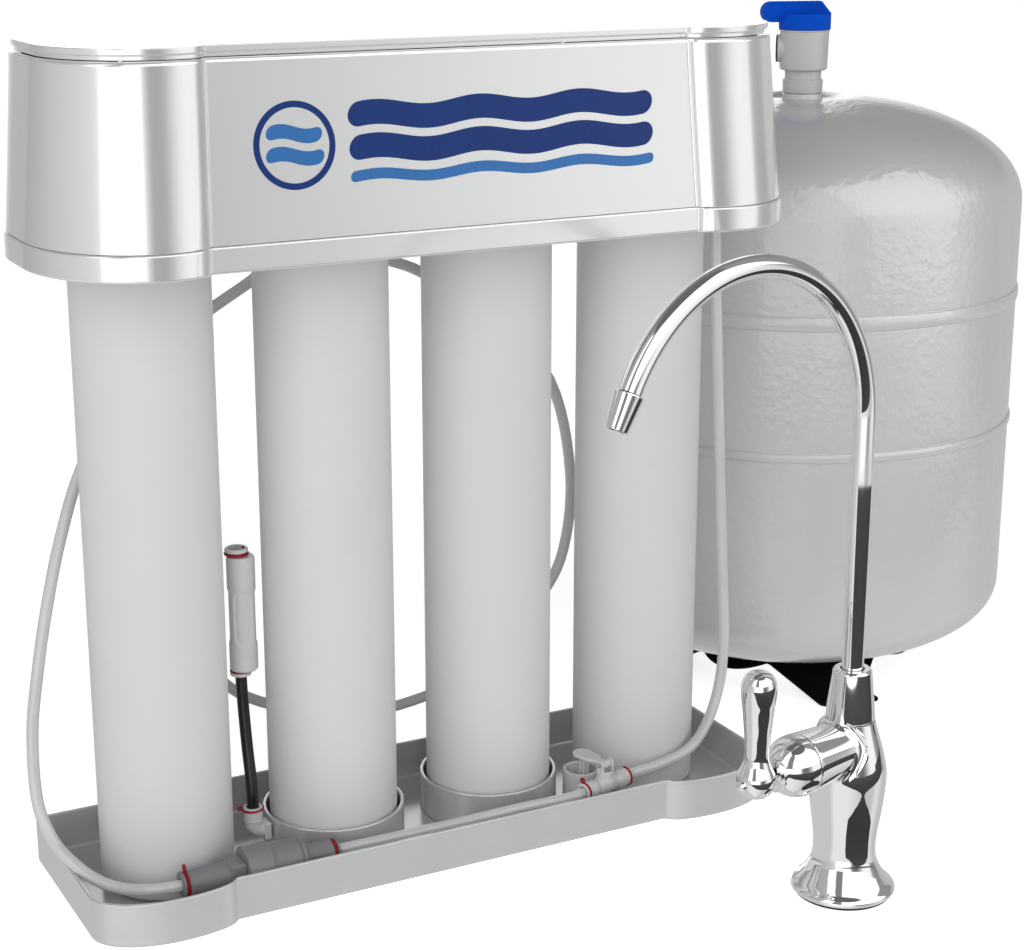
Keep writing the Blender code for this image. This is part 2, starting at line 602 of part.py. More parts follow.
def storage_tank():
    belly, dome = tank_ends(0, 6)
    inner_belly, inner_dome = tank_ends(TANK_SKIN, 4)
    ribs = []
    for z, half in ((162.9, 2.4), (239.3, 3.8)):
        ribs += [(TANK_R, z - half - 0.8), (TANK_R + RIB_DEPTH, z - half + 0.4),
                 (TANK_R + RIB_DEPTH, z + half - 0.4), (TANK_R, z + half + 0.8)]
    rim = [(12.0, 351.6), (11.6, TANK_CAP), (6.0, TANK_CAP), (6.0, 349.0)]
    profile = belly + ribs + dome + rim + inner_dome[::-1] + inner_belly[::-1]
    finish("tank_shell", turned(profile, 22, TANK_AXIS), ENAMEL)
    finish("tank_diaphragm",
           turned([(0, 118), (70, 122), (112, 150), (128.4, 200), (126.6, 200.8), (110, 152),
                   (69, 124), (0, 120)], 14, TANK_AXIS), RUBBER)
    finish("tank_air_valve",
           turned([(0, 8.0), (3.2, 8.0), (3.2, 13.0), (7.0, 13.5), (7.0, 15.9), (0, 15.9)],
                  at=TANK_AXIS), BLACK)


def tank_stand():
    """Shallow cone skirt under the tank, cut up into wide feet."""
    sections = STAND_FEET * STAND_STEPS
    middle = STAND_STEPS / 2
    corner_turn = {1: math.radians(1.5), STAND_STEPS - 1: math.radians(-1.5)}
    rings = []
    for k in range(sections):
        phase = k % STAND_STEPS                        # 0 is the middle of a foot
        share = 1 - abs(phase - middle) / middle
        lift = ARCH_RISE * max(0.0, share - 0.25) / 0.75
        angle = STAND_AIM + 2 * math.pi * k / sections + corner_turn.get(phase, 0.0)
        low_r = 97.0 - lift * 1.1
        thick = 11.0 - lift * 0.42
        section = [(68.0, 19.6), (77.5, 21.4), (low_r, lift), (low_r - thick, lift)]
        rings.append([(TANK_X + radius * math.cos(angle), TANK_Y + radius * math.sin(angle), z)
                      for radius, z in section])
    finish("tank_stand", loft(rings, closed=True), BLACK)


def tank_valve():
    low = TANK_CAP + GAP
    body = finish("tank_valve_body",
                  turned([(4.0, low), (11.7, low), (11.7, 360.4), (10.8, 361.0),
                          (10.8, 365.4), (13.4, 366.2), (14.0, 367.2), (14.5, 388.6),
                          (8.6, 388.6), (8.6, 369.5), (4.0, 369.5)],
                         14, TANK_AXIS, loop=True), WHITE)
    port = [(0, 12.0), (5.1, 12.0), (5.1, 17.6), (8.2, 17.6), (8.2, 9.8), (0, 9.8)]
    boolean(body, 'UNION', "add_port",
            turned(port, at=(TANK_X, TANK_Y, VALVE_PORT_Z), aim=VALVE_DIR))
    finish("tank_valve_ball",
           turned([(0, 370.2), (5.0, 371.2), (7.6, 374.5), (8.1, VALVE_PORT_Z), (7.6, 380.5),
                   (5.0, 383.8), (3.0, 384.6), (3.0, 388.6), (0, 388.6)], at=TANK_AXIS),
           CHROME, origin=TANK_AXIS)

    lever = finish("tank_valve_lever",
                   turned([(0, VALVE_LEVER_Z), (15.2, VALVE_LEVER_Z), (15.2, 397.9),
                           (14.2, 398.9), (0, 398.9)], 14, TANK_AXIS),
                   BLUE, origin=(TANK_X, TANK_Y, VALVE_LEVER_Z))
    # blade outline: (distance along VALVE_DIR, height above BLADE_Z)
    blade = [(-16.7, -0.9), (-9.5, BLADE_HALF), (BLADE_TIP_X, BLADE_HALF)]
    blade += [(BLADE_TIP_X + BLADE_TIP_R * math.sin(angle), BLADE_TIP_R * math.cos(angle))
              for angle in (math.pi * k / 8 for k in range(1, 8))]
    blade += [(BLADE_TIP_X, -BLADE_TIP_R), (13.0, -BLADE_TIP_R), (-16.7, -2.0)]
    across = Vector((-VALVE_DIR.y, VALVE_DIR.x, 0))
    rings = [[Vector((TANK_X, TANK_Y, BLADE_Z + rise)) + VALVE_DIR * along + across * offset
              for along, rise in blade] for offset in (-2.6, 2.6)]
    boolean(lever, 'UNION', "add_blade", loft(rings))


# ------------------------------------------------------------------- faucet
def faucet_body():
    finish("faucet_gasket", turned(sleeve(10, 23.5, 0.0, 1.2), 14, FAUCET_AT, loop=True), RUBBER)
    vase = [(0, 70.0), (9.0, 70.0), (9.0, 1.5), (24.6, 1.5), (25.2, 3.0), (24.2, 5.0),
            (20.3, 9.0), (17.0, 14.5), (15.3, 20.0), (15.0, 25.0), (15.6, 32.5),
            (17.9, 49.6), (18.6, 60.0), (17.4, 70.0), (14.9, 79.3), (12.0, 89.7), (0, 89.7)]
    body = finish("faucet_body", turned(vase, 16, FAUCET_AT), CHROME)
    boolean(body, 'UNION', "add_side_arm", turned(rod(13.4, 10.5, 21.3), 12, ARM_AT, SPOUT_DIR))
    bonnet = [(0, 21.6), (14.2, 21.6), (15.0, 27.0), (15.2, 34.0), (14.4, 41.5), (11.8, 47.5),
              (8.4, 50.8), (7.0, 52.0), (8.5, 53.2), (8.5, 54.6), (0, 55.2)]
    finish("faucet_bonnet", turned(bonnet, 12, ARM_AT, SPOUT_DIR), CHROME)


def faucet_handle():
    handle = [(0, 68.0), (5.0, 69.0), (8.2, 72.4), (9.2, 76.5), (8.2, 81.0), (6.3, 85.5),
              (5.7, 90.0), (6.2, 100.0), (7.4, 112.0), (8.2, 119.5), (7.7, 125.0),
              (5.2, 128.7), (0, 130.2)]
    finish("faucet_handle", turned(handle, at=FAUCET_AT + SPOUT_DIR * ARM_HANDLE), CHROME,
           origin=HANDLE_PIVOT)
    screw = [(0, 9.6), (2.2, 9.6), (2.0, 11.0), (0, 11.8)]
    finish("handle_screw", turned(screw, at=HANDLE_PIVOT, aim=SPOUT_DIR), CHROME,
           origin=HANDLE_PIVOT)


def faucet_spout():
    collar = [(5.7, 90.0), (11.8, 90.0), (10.4, 104.0), (9.3, 114.4), (8.5, 115.3), (5.7, 115.3)]
    finish("spout_collar", turned(collar, 14, FAUCET_AT, loop=True), CHROME)
    path = [FAUCET_AT + Vector((0, 0, SPOUT_FOOT)), FAUCET_AT + Vector((0, 0, SPOUT_RISE))]
    for k in range(1, SPOUT_STEPS + 1):
        angle = SPOUT_SWEEP * k / SPOUT_STEPS
        path.append(FAUCET_AT + SPOUT_DIR * (SPOUT_BEND * (1 - math.cos(angle)))
                    + Vector((0, 0, SPOUT_RISE + SPOUT_BEND * math.sin(angle))))
    finish("faucet_spout", swept(path, SPOUT_R, SPOUT_BORE, sides=10), CHROME, origin=FAUCET_AT)
    outlet = SPOUT_DIR * math.sin(SPOUT_SWEEP) + Vector((0, 0, math.cos(SPOUT_SWEEP)))
    tip = [(SPOUT_BORE, 0.9), (6.7, 0.9), (6.8, 2.6), (6.2, 3.4), (5.2, 15.6),
           (SPOUT_BORE, 15.6)]
    finish("spout_tip", turned(tip, at=path[-1], aim=outlet, loop=True), CHROME,
           origin=FAUCET_AT)


drip_tray()
cartridges()
head_base()
head_casing()
head_lid()
head_inside()
inlet_regulator()
leak_stop_valve()
leak_stop_lever()
leak_stop_cup()
drain_restrictor()
drain_elbow()
tubes()
storage_tank()
tank_stand()
tank_valve()
faucet_body()
faucet_handle()
faucet_spout()
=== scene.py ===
# A water filter set: a unit of four upright cartridges hanging from a silver head above a drip
# tray, with its push-fit fittings and tubing, a storage tank and a long-necked faucet.
# +Z is up, the floor is z = 0 and the front faces -Y.  The unit is centred on x = 0; the tank
# and the faucet stand where the frame puts them.  Sizes are in millimetres until a piece is
# turned into an object; the stage, lights and camera are in metres.
import json
import math

import bmesh
import bpy
from mathutils import Matrix, Vector


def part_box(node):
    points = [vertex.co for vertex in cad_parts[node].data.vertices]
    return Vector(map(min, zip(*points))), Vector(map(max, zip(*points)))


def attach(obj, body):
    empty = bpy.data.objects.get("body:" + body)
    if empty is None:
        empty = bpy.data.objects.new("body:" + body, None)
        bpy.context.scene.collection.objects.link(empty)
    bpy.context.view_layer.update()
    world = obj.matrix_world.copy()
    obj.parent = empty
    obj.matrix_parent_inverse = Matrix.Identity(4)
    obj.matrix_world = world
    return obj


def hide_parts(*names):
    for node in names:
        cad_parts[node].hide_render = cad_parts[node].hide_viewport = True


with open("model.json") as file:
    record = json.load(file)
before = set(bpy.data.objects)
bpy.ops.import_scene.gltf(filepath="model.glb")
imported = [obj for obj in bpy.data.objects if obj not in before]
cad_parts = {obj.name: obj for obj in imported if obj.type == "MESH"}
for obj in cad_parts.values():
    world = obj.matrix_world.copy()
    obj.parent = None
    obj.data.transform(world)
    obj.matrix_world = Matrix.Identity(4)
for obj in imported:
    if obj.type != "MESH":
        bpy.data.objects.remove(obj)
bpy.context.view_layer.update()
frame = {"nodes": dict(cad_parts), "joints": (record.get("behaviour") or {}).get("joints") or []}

MM = 0.001
UP = Vector((0, 0, 1))


# ================================================= places, from the frame
def extent(node):
    """Centre, low corner and high corner of a frame piece."""
    low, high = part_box(node)
    return (low + high) * 500.0, low * 1000.0, high * 1000.0


def joint_line(name):
    """Position and unit axis of a frame joint."""
    joint = next(j for j in frame["joints"] if j["name"] == name)
    return Vector(joint["pos_m"]) * 1000.0, Vector(joint["axis"]).normalized()


def on_floor(point):
    return Vector((point.x, point.y, 0))


def heading(angle):
    """Level direction at an angle in radians from +X."""
    return Vector((math.cos(angle), math.sin(angle), 0))


def across(direction):
    """Level direction a quarter turn anticlockwise, seen from above."""
    return Vector((-direction.y, direction.x, 0))


CARTRIDGE_XS = [extent("cartridge_shell_%d" % i)[0].x for i in range(1, 5)]
_, low, high = extent("cartridge_shell_1")
CARTRIDGE_R = (high.x - low.x) / 2
CARTRIDGE_FLOOR, NECK_TOP = low.z, high.z
TRAY_HEIGHT = extent("drip_tray")[2].z
_, low, high = extent("head_base")
BAND_BOTTOM, BAND_TOP = low.z, high.z
CASING_TOP = extent("head_casing")[2].z
_, low, high = extent("head_lid")
LID_BOTTOM, LID_TOP = low.z, high.z
center, low, high = extent("tank_shell")
TANK = on_floor(center)
TANK_R = (high.y - low.y) / 2 - 1.2
FAUCET = on_floor(extent("faucet_gasket")[0])
center, low, high = extent("leak_stop_cup")
CUP = on_floor(center)
CUP_R = (high.x - low.x) / 2
RESTRICTOR = on_floor(extent("drain_restrictor")[0])
center, low, high = extent("inlet_regulator")
REG_LEFT, REG_RIGHT = low.x - 3.0, high.x
REG_Y, REG_Z = center.y, center.z

PIN, LEAK_AXIS = joint_line("leak_lever_rise")
if LEAK_AXIS.x < 0:
    LEAK_AXIS = -LEAK_AXIS
handle_place, ARM = joint_line("faucet_handle_turn")
ARM_Z = handle_place.z
if ARM.x >= 0:
    ARM = -ARM                     # out along the faucet's side arm

ELBOW_X, ELBOW_Y = -89.0, -3.0
SOCKET_R = 3.3                     # bore that takes a tube
TUBE_R, TUBE_BORE = 2.9, 1.95


# ================================================================ materials
class Net:
    """Short calls for building a node tree, its nodes laid out in a row."""

    def __init__(self, owner):
        owner.use_nodes = True
        self.tree = owner.node_tree
        self.next_x = -1800

    def link(self, source, socket):
        self.tree.links.new(source, socket)

    def feed(self, socket, value):
        """Set a number or an RGB colour on a socket, or link an output to it."""
        if isinstance(value, (int, float)):
            socket.default_value = value
        elif isinstance(value, tuple):
            socket.default_value = (*value, 1.0)
        else:
            self.link(value, socket)

    def node(self, kind, inputs=None, **attributes):
        new = self.tree.nodes.new(kind)
        new.location = (self.next_x, 0)
        self.next_x += 60
        for name, value in attributes.items():
            setattr(new, name, value)
        for key, value in (inputs or {}).items():
            self.feed(new.inputs[key], value)
        return new

    def math(self, operation, first, second=None, clamp=False):
        inputs = {0: first} if second is None else {0: first, 1: second}
        return self.node("ShaderNodeMath", inputs, operation=operation,
                         use_clamp=clamp).outputs[0]

    def ramp(self, factor, stops):
        """Colour ramp through grey (position, value) stops."""
        new = self.node("ShaderNodeValToRGB", {0: factor})
        elements = new.color_ramp.elements
        while len(elements) > 1:
            elements.remove(elements[-1])
        elements[0].position = stops[0][0]
        elements[0].color = (*[stops[0][1]] * 3, 1.0)
        for position, value in stops[1:]:
            elements.new(position).color = (value, value, value, 1.0)
        return new.outputs[0]

    def mix(self, factor, first, second, blend="MIX"):
        return self.node("ShaderNodeMix", {0: factor, 6: first, 7: second},
                         data_type="RGBA", blend_type=blend).outputs[2]

    def span(self, value, source, target=(0.0, 1.0), smooth=False):
        """Map one range to another, held at both ends."""
        inputs = dict(enumerate((value, *source, *target)))
        kind = "SMOOTHSTEP" if smooth else "LINEAR"
        return self.node("ShaderNodeMapRange", inputs, interpolation_type=kind).outputs[0]

    def noise(self, vector, scale, detail=2.0, rough=0.5):
        return self.node("ShaderNodeTexNoise", {"Vector": vector, "Scale": scale,
                                                "Detail": detail, "Roughness": rough}).outputs[0]


MATERIALS = {}


def finish(name, base, rough, metal=0.0, spec=0.5, coat=0.0, coat_rough=0.05, spread=0.05,
           scale=30.0, rough_spread=0.05, bumps=(), wear=0.0, worn=None, hollow_shade=0.0,
           stretch=(1, 1, 1), mottle=0.0):
    """A procedural finish: uneven colour and gloss, surface grain and rubbed edges.

    spread and rough_spread set how far colour and gloss vary, scale the size of the pattern.
    Each bump is (noise scale, strength, distance in metres).  wear rubs raised edges towards
    the worn colour; painted shade darkens the hollows; mottle adds darker spots.
    """
    material = bpy.data.materials.new(name)
    net = Net(material)
    inputs = net.tree.nodes["Principled BSDF"].inputs

    def tinted(factor, add=0.0):
        return tuple(min(1.0, c * factor + add) for c in base)

    coords = net.node("ShaderNodeTexCoord").outputs["Object"]
    mapping = net.node("ShaderNodeMapping", {"Vector": coords})
    mapping.inputs["Scale"].default_value = stretch
    vector = mapping.outputs[0]
    broad = net.noise(vector, scale, 3.0, 0.55)
    fine = net.noise(vector, scale * 14, 2.0, 0.6)
    tone = net.math("ADD", net.math("MULTIPLY", broad, 0.7), net.math("MULTIPLY", fine, 0.3))
    colour = net.mix(net.span(tone, (0.3, 0.7)), tinted(1 - spread), tinted(1 + spread))
    if mottle:
        spots = net.noise(vector, scale * 5, 4.0, 0.7)
        colour = net.mix(net.span(spots, (0.58, 0.75), (0.0, mottle)), colour, tinted(0.8))
    gloss = net.math("SUBTRACT", broad, 0.5)
    gloss = net.math("ADD", net.math("MULTIPLY", gloss, rough_spread * 2.0), rough)
    if wear or hollow_shade:
        point = net.node("ShaderNodeNewGeometry").outputs["Pointiness"]
    if wear:
        patches = net.noise(vector, scale * 6, 3.0, 0.65)
        edge = net.math("MULTIPLY", net.span(point, (0.52, 0.60)),
                        net.span(patches, (0.35, 0.65), (0.25, 1.0)))
        edge = net.math("MULTIPLY", edge, wear, clamp=True)
        colour = net.mix(edge, colour, worn or tinted(1.25, 0.03))
        gloss = net.math("ADD", gloss, net.math("MULTIPLY", edge, 0.10))
    # painted shade: concave places are darkened and dulled where shade would fall
    if hollow_shade:
        hollow_shade_mask = net.math("MULTIPLY", net.span(point, (0.48, 0.42)), hollow_shade, clamp=True)
        colour = net.mix(hollow_shade_mask, colour, tinted(0.45))
        gloss = net.math("ADD", gloss, net.math("MULTIPLY", hollow_shade_mask, 0.2))
    net.link(colour, inputs["Base Color"])
    net.link(net.math("MAXIMUM", gloss, 0.015), inputs["Roughness"])
    inputs["Metallic"].default_value = metal
    inputs["Specular IOR Level"].default_value = spec
    inputs["IOR"].default_value = 1.5
    inputs["Coat Weight"].default_value = coat
    inputs["Coat Roughness"].default_value = coat_rough
    normal = None
    for bump_scale, strength, distance in bumps:
        bump = net.node("ShaderNodeBump", {"Height": net.noise(vector, bump_scale),
                                           "Strength": strength, "Distance": distance})
        if normal is not None:
            net.link(normal, bump.inputs["Normal"])
        normal = bump.outputs[0]
    if normal is not None:
        net.link(normal, inputs["Normal"])
        if coat:
            net.link(normal, inputs["Coat Normal"])
    MATERIALS[name] = material


# the hollow darkening set in these finishes is painted shade, not dirt
finish("silver_paint", (0.92, 0.925, 0.925), 0.13, metal=0.66, spread=0.012, scale=18,
       rough_spread=0.035, bumps=((7.0, 0.04, 0.004), (1500, 0.03, 0.0002)),
       wear=0.35, worn=(1.0, 1.0, 1.0), hollow_shade=0.25)
finish("tray_silver", (0.64, 0.645, 0.645), 0.20, metal=0.42, spread=0.03, scale=22,
       rough_spread=0.06, bumps=((12.0, 0.10, 0.003), (1800, 0.06, 0.0002)),
       wear=0.6, worn=(0.92, 0.92, 0.92), hollow_shade=0.3)
finish("cartridge_plastic", (0.715, 0.72, 0.72), 0.50, spread=0.018, scale=14,
       bumps=((14.0, 0.05, 0.003), (2200, 0.10, 0.00012)), wear=0.25, hollow_shade=0.15)
finish("tank_enamel", (0.615, 0.62, 0.615), 0.34, coat=1.0, coat_rough=0.045, spread=0.015,
       scale=10, rough_spread=0.04, bumps=((230.0, 0.30, 0.0011), (30.0, 0.10, 0.002)),
       wear=0.25, hollow_shade=0.2)
finish("black_plastic", (0.0025, 0.0025, 0.003), 0.7, spec=0.04, spread=0.2, scale=40,
       rough_spread=0.1, bumps=((900, 0.25, 0.0002), (30, 0.1, 0.001)),
       wear=0.3, worn=(0.03, 0.03, 0.032))
finish("chrome", (0.90, 0.91, 0.92), 0.035, metal=1.0, spread=0.012, scale=35,
       rough_spread=0.02, bumps=((45.0, 0.010, 0.001),), wear=0.15, worn=(0.98, 0.98, 0.98))
finish("clip_red", (0.33, 0.002, 0.004), 0.42, spec=0.3, spread=0.12, scale=90,
       bumps=((800, 0.1, 0.0001),), wear=0.2, worn=(0.45, 0.02, 0.02))
finish("regulator_grey", (0.215, 0.215, 0.222), 0.47, scale=60, rough_spread=0.06,
       bumps=((1500, 0.2, 0.00015), (60, 0.08, 0.0006)),
       wear=0.5, worn=(0.36, 0.36, 0.37), hollow_shade=0.35)
finish("fitting_white", (0.66, 0.66, 0.655), 0.42, spread=0.03, scale=60,
       bumps=((1300, 0.12, 0.00012), (70, 0.05, 0.0005)),
       wear=0.4, worn=(0.82, 0.82, 0.82), hollow_shade=0.35)
finish("valve_body_grey", (0.55, 0.55, 0.545), 0.36, spread=0.03, scale=50,
       bumps=((1200, 0.10, 0.00012),), wear=0.3, worn=(0.7, 0.7, 0.7), hollow_shade=0.35)
finish("lever_blue", (0.0, 0.080, 0.60), 0.55, spec=0.08, spread=0.06, scale=50,
       bumps=((1400, 0.15, 0.00015),), wear=0.4, worn=(0.01, 0.16, 0.72), hollow_shade=0.35)
finish("tubing_white", (0.64, 0.64, 0.655), 0.20, spread=0.04, scale=45, coat=0.9,
       coat_rough=0.08, bumps=((60, 0.10, 0.0008), (900, 0.05, 0.0001)), wear=0.2)
finish("tubing_black", (0.006, 0.006, 0.0065), 0.34, spread=0.15, scale=45, coat=0.2,
       bumps=((60, 0.1, 0.0008),), wear=0.2)
finish("zinc_steel", (0.60, 0.61, 0.62), 0.38, metal=1.0, spread=0.08, scale=45,
       rough_spread=0.10, bumps=((500, 0.15, 0.0002),),
       wear=0.5, worn=(0.85, 0.85, 0.86), mottle=0.35)
finish("rubber", (0.018, 0.018, 0.018), 0.75, spread=0.2, scale=80,
       bumps=((900, 0.3, 0.0002),), wear=0.2)
finish("carbon", (0.02, 0.02, 0.02), 0.9, spread=0.4, scale=200, bumps=((900, 0.6, 0.0005),))
finish("fibre", (0.80, 0.79, 0.75), 0.9, spread=0.06, scale=120, stretch=(1, 1, 3),
       bumps=((600, 0.6, 0.0006),))
finish("wafer_pad", (0.70, 0.62, 0.40), 0.95, spread=0.15, scale=200,
       bumps=((900, 0.6, 0.0005),))
finish("seal_pale", (0.75, 0.70, 0.62), 0.5, scale=60, bumps=((900, 0.1, 0.0001),))
finish("print_navy", (0.006, 0.035, 0.19), 0.28, spec=0.25, scale=60, rough_spread=0.04,
       coat=0.15, bumps=((1500, 0.05, 0.0001),))
finish("print_azure", (0.012, 0.155, 0.46), 0.28, scale=60, rough_spread=0.04,
       coat=0.5, bumps=((1500, 0.05, 0.0001),))


# =============================================================== line tools
def fillet(points, loop=False, steps=5):
    """Round the corners of a profile of (a, b) or (a, b, corner radius) points.

    steps is the number of segments in a quarter turn.
    """
    corners = [(*p[:2], p[2] if len(p) > 2 else 0.0) for p in points]
    last = len(corners) - 1
    rounded = []
    for i, (a, b, radius) in enumerate(corners):
        corner = Vector((a, b))
        behind = Vector(corners[i - 1][:2]) - corner
        ahead = Vector(corners[(i + 1) % len(corners)][:2]) - corner
        behind_length, ahead_length = behind.length, ahead.length
        behind.normalize()
        ahead.normalize()
        angle = behind.angle(ahead, 0.0)
        bent = math.radians(4) <= angle <= math.radians(176)
        if radius <= 0 or not bent or (not loop and i in (0, last)):
            rounded.append((a, b))
            continue
        trim = min(radius / math.tan(angle / 2), 0.48 * behind_length, 0.48 * ahead_length)
        radius = trim * math.tan(angle / 2)
        middle = corner + (behind + ahead).normalized() * (radius / math.sin(angle / 2))
        first = corner + behind * trim - middle
        turn = first.angle_signed(corner + ahead * trim - middle)      # clockwise positive
        count = max(2, int(steps * abs(turn) / (math.pi / 2) + 0.99))
        for k in range(count + 1):
            w = -turn * k / count
            rounded.append((middle.x + first.x * math.cos(w) - first.y * math.sin(w),
                            middle.y + first.x * math.sin(w) + first.y * math.cos(w)))
    return rounded


def curve(points, per=6):
    """Smooth Catmull-Rom line through 2D or 3D points, with per steps to a span."""
    knots = [Vector(p) for p in points]
    knots = [knots[0] * 2 - knots[1]] + knots + [knots[-1] * 2 - knots[-2]]
    line = []
    for a, b, c, d in zip(knots, knots[1:], knots[2:], knots[3:]):
        for k in range(per):
            t = k / per
            line.append(0.5 * ((2 * b) + (c - a) * t + (2 * a - 5 * b + 4 * c - d) * t * t
                               + (3 * b - a - 3 * c + d) * t ** 3))
    line.append(knots[-2])
    return line


def flow(points, per=5):
    """Smooth profile through (a, b) points."""
    return [tuple(p) for p in curve(points, per)]


def mirrored(half):
    return [(-a, b) for a, b in reversed(half)]


def inset(outline, distance):
    """Move a closed outline inwards with mitred corners."""
    if abs(distance) < 1e-9:
        return [tuple(p) for p in outline]
    count = len(outline)
    area = sum(outline[i][0] * outline[(i + 1) % count][1]
               - outline[(i + 1) % count][0] * outline[i][1] for i in range(count))
    sign = 1.0 if area > 0 else -1.0
    moved = []
    for i in range(count):
        corner = Vector(outline[i])
        before = corner - Vector(outline[i - 1])
        after = Vector(outline[(i + 1) % count]) - corner
        if before.length < 1e-9:
            before = after.copy()
        if after.length < 1e-9:
            after = before.copy()
        before.normalize()
        after.normalize()
        normal = Vector((-before.y, before.x)) * sign
        mitre = normal + Vector((-after.y, after.x)) * sign
        if mitre.length < 1e-6:
            mitre = normal.copy()
        mitre.normalize()
        moved.append(tuple(corner + mitre * (distance / max(0.35, mitre.dot(normal)))))
    return moved


def rims(radius, z0, z1, steps):
    """(inset, height) stations of a plate with rounded rims, from the bottom up."""
    quarter = [math.pi / 2 * k / steps for k in range(steps + 1)]
    lower = [(radius * (1 - math.sin(a)), z0 + radius * (1 - math.cos(a))) for a in quarter]
    upper = [(radius * (1 - math.sin(a)), z1 - radius * (1 - math.cos(a))) for a in quarter]
    return lower + upper[::-1]


# ============================================================== solid tools
def skin(solid, first, second, ring=True):
    """Faces between two rows of vertices; a row of one vertex is a pole."""
    count = max(len(first), len(second))
    for i in range(count if ring else count - 1):
        j = (i + 1) % count
        if len(first) == 1:
            solid.faces.new((first[0], second[j], second[i]))
        elif len(second) == 1:
            solid.faces.new((first[i], first[j], second[0]))
        else:
            solid.faces.new((first[i], first[j], second[j], second[i]))


def loft(rings, closed=False, solid=None):
    """Skin over rings of points: capped at both ends, or closed on itself."""
    solid = solid or bmesh.new()
    rows = [[solid.verts.new(p) for p in ring] for ring in rings]
    for first, second in zip(rows, rows[1:]):
        skin(solid, first, second)
    if closed:
        skin(solid, rows[-1], rows[0])
    else:
        for row in (rows[0], rows[-1]):
            if len(row) > 1:
                solid.faces.new(row)
    return solid


def turned(profile, segments=64, base=(0, 0, 0), axis=UP, loop=False, solid=None, dent=None):
    """Spin (radius, height) points round an axis through base.

    dent gives a radius factor from the angle and the height.
    """
    axis = Vector(axis).normalized()
    place = Matrix.Translation(Vector(base)) @ axis.to_track_quat('Z', 'Y').to_matrix().to_4x4()
    angles = [2 * math.pi * k / segments for k in range(segments)]
    rings = []
    for radius, height in profile:
        if radius < 1e-4:
            rings.append([place @ Vector((0, 0, height))])
            continue
        ring = []
        for angle in angles:
            factor = dent(angle, height) if dent else 1
            ring.append(place @ Vector((radius * math.cos(angle) * factor,
                                        radius * math.sin(angle) * factor, height)))
        rings.append(ring)
    return loft(rings, closed=loop, solid=solid)


def frames_along(path):
    """(tangent, side, other side) at each point of a path, without twist."""
    last = len(path) - 1
    tangents = [(path[min(i + 1, last)] - path[max(i - 1, 0)]).normalized()
                for i in range(last + 1)]
    side = tangents[0].orthogonal().normalized()
    frames = []
    for i, tangent in enumerate(tangents):
        if i:
            side = tangents[i - 1].rotation_difference(tangent) @ side
        side = (side - tangent * side.dot(tangent)).normalized()
        frames.append((tangent, side, tangent.cross(side)))
    return frames


def swept(path, radius, bore=None, segments=24, tip=0.0):
    """Round bar along a path: hollow if it has a bore, with rounded ends tip long if given."""
    frames = frames_along(path)
    count = len(path)

    def ring(i, size, shift=0.0):
        tangent, side, other = frames[i]
        return [path[i] + tangent * shift + (side * math.cos(a) + other * math.sin(a)) * size
                for a in (2 * math.pi * k / segments for k in range(segments))]

    if bore:
        return loft([ring(i, radius) for i in range(count)]
                    + [ring(i, bore) for i in reversed(range(count))], closed=True)
    if not tip:
        return loft([ring(i, radius) for i in range(count)])
    angles = [math.pi / 2 * k / 4 for k in range(1, 5)]
    start = [ring(0, radius * math.sin(a), -tip * math.cos(a)) for a in angles]
    end = [ring(count - 1, radius * math.sin(a), tip * math.cos(a)) for a in reversed(angles)]
    return loft(start + [ring(i, radius) for i in range(1, count - 1)] + end)


def rounded_box(low, high, radius, solid=None):
    """Box with every edge rounded, as a stack of rounded rectangles."""
    (x0, y0, z0), (x1, y1, z1) = low, high
    steps = 4
    corners = ((x1 - radius, y1 - radius, 0), (x0 + radius, y1 - radius, 90),
               (x0 + radius, y0 + radius, 180), (x1 - radius, y0 + radius, 270))
    rings = []
    for depth, z in rims(radius, z0, z1, steps):
        size = max(radius - depth, 0.02)
        ring = []
        for x, y, start in corners:
            for k in range(steps + 1):
                a = math.radians(start + 90 * k / steps)
                ring.append((x + size * math.cos(a), y + size * math.sin(a), z))
        rings.append(ring)
    return loft(rings, solid=solid)


def upright_plate(outline, stations, base, along):
    """Plate on edge from an (along, height) outline and (sideways, inset) stations."""
    side = across(along)
    return loft([[base + UP * z + along * s + side * w for s, z in inset(outline, depth)]
                 for w, depth in stations])


# ============================================================= object tools
def new_object(name, solid):
    mesh = bpy.data.meshes.new(name)
    solid.to_mesh(mesh)
    solid.free()
    ob = bpy.data.objects.new(name, mesh)
    bpy.context.scene.collection.objects.link(ob)
    return ob


def solid_object(name, solid, material):
    """Clean up a millimetre solid and make it an object in metres."""
    bmesh.ops.remove_doubles(solid, verts=solid.verts, dist=2e-4)
    bmesh.ops.recalc_face_normals(solid, faces=solid.faces)
    for vertex in solid.verts:
        vertex.co *= MM
    ob = new_object(name, solid)
    ob.data.materials.append(material)
    return ob


def combine(ob, operation, solid, material):
    """Apply a boolean of a millimetre solid to an object."""
    tool = solid_object(ob.name + "_tool", solid, material)
    modifier = ob.modifiers.new(operation.lower(), 'BOOLEAN')
    modifier.operation = operation
    modifier.object = tool
    bpy.context.view_layer.update()
    depsgraph = bpy.context.evaluated_depsgraph_get()
    result = bpy.data.meshes.new_from_object(ob.evaluated_get(depsgraph), depsgraph=depsgraph)
    ob.modifiers.clear()
    old, tool_mesh = ob.data, tool.data
    ob.data = result
    bpy.data.meshes.remove(old)
    bpy.data.objects.remove(tool)
    bpy.data.meshes.remove(tool_mesh)


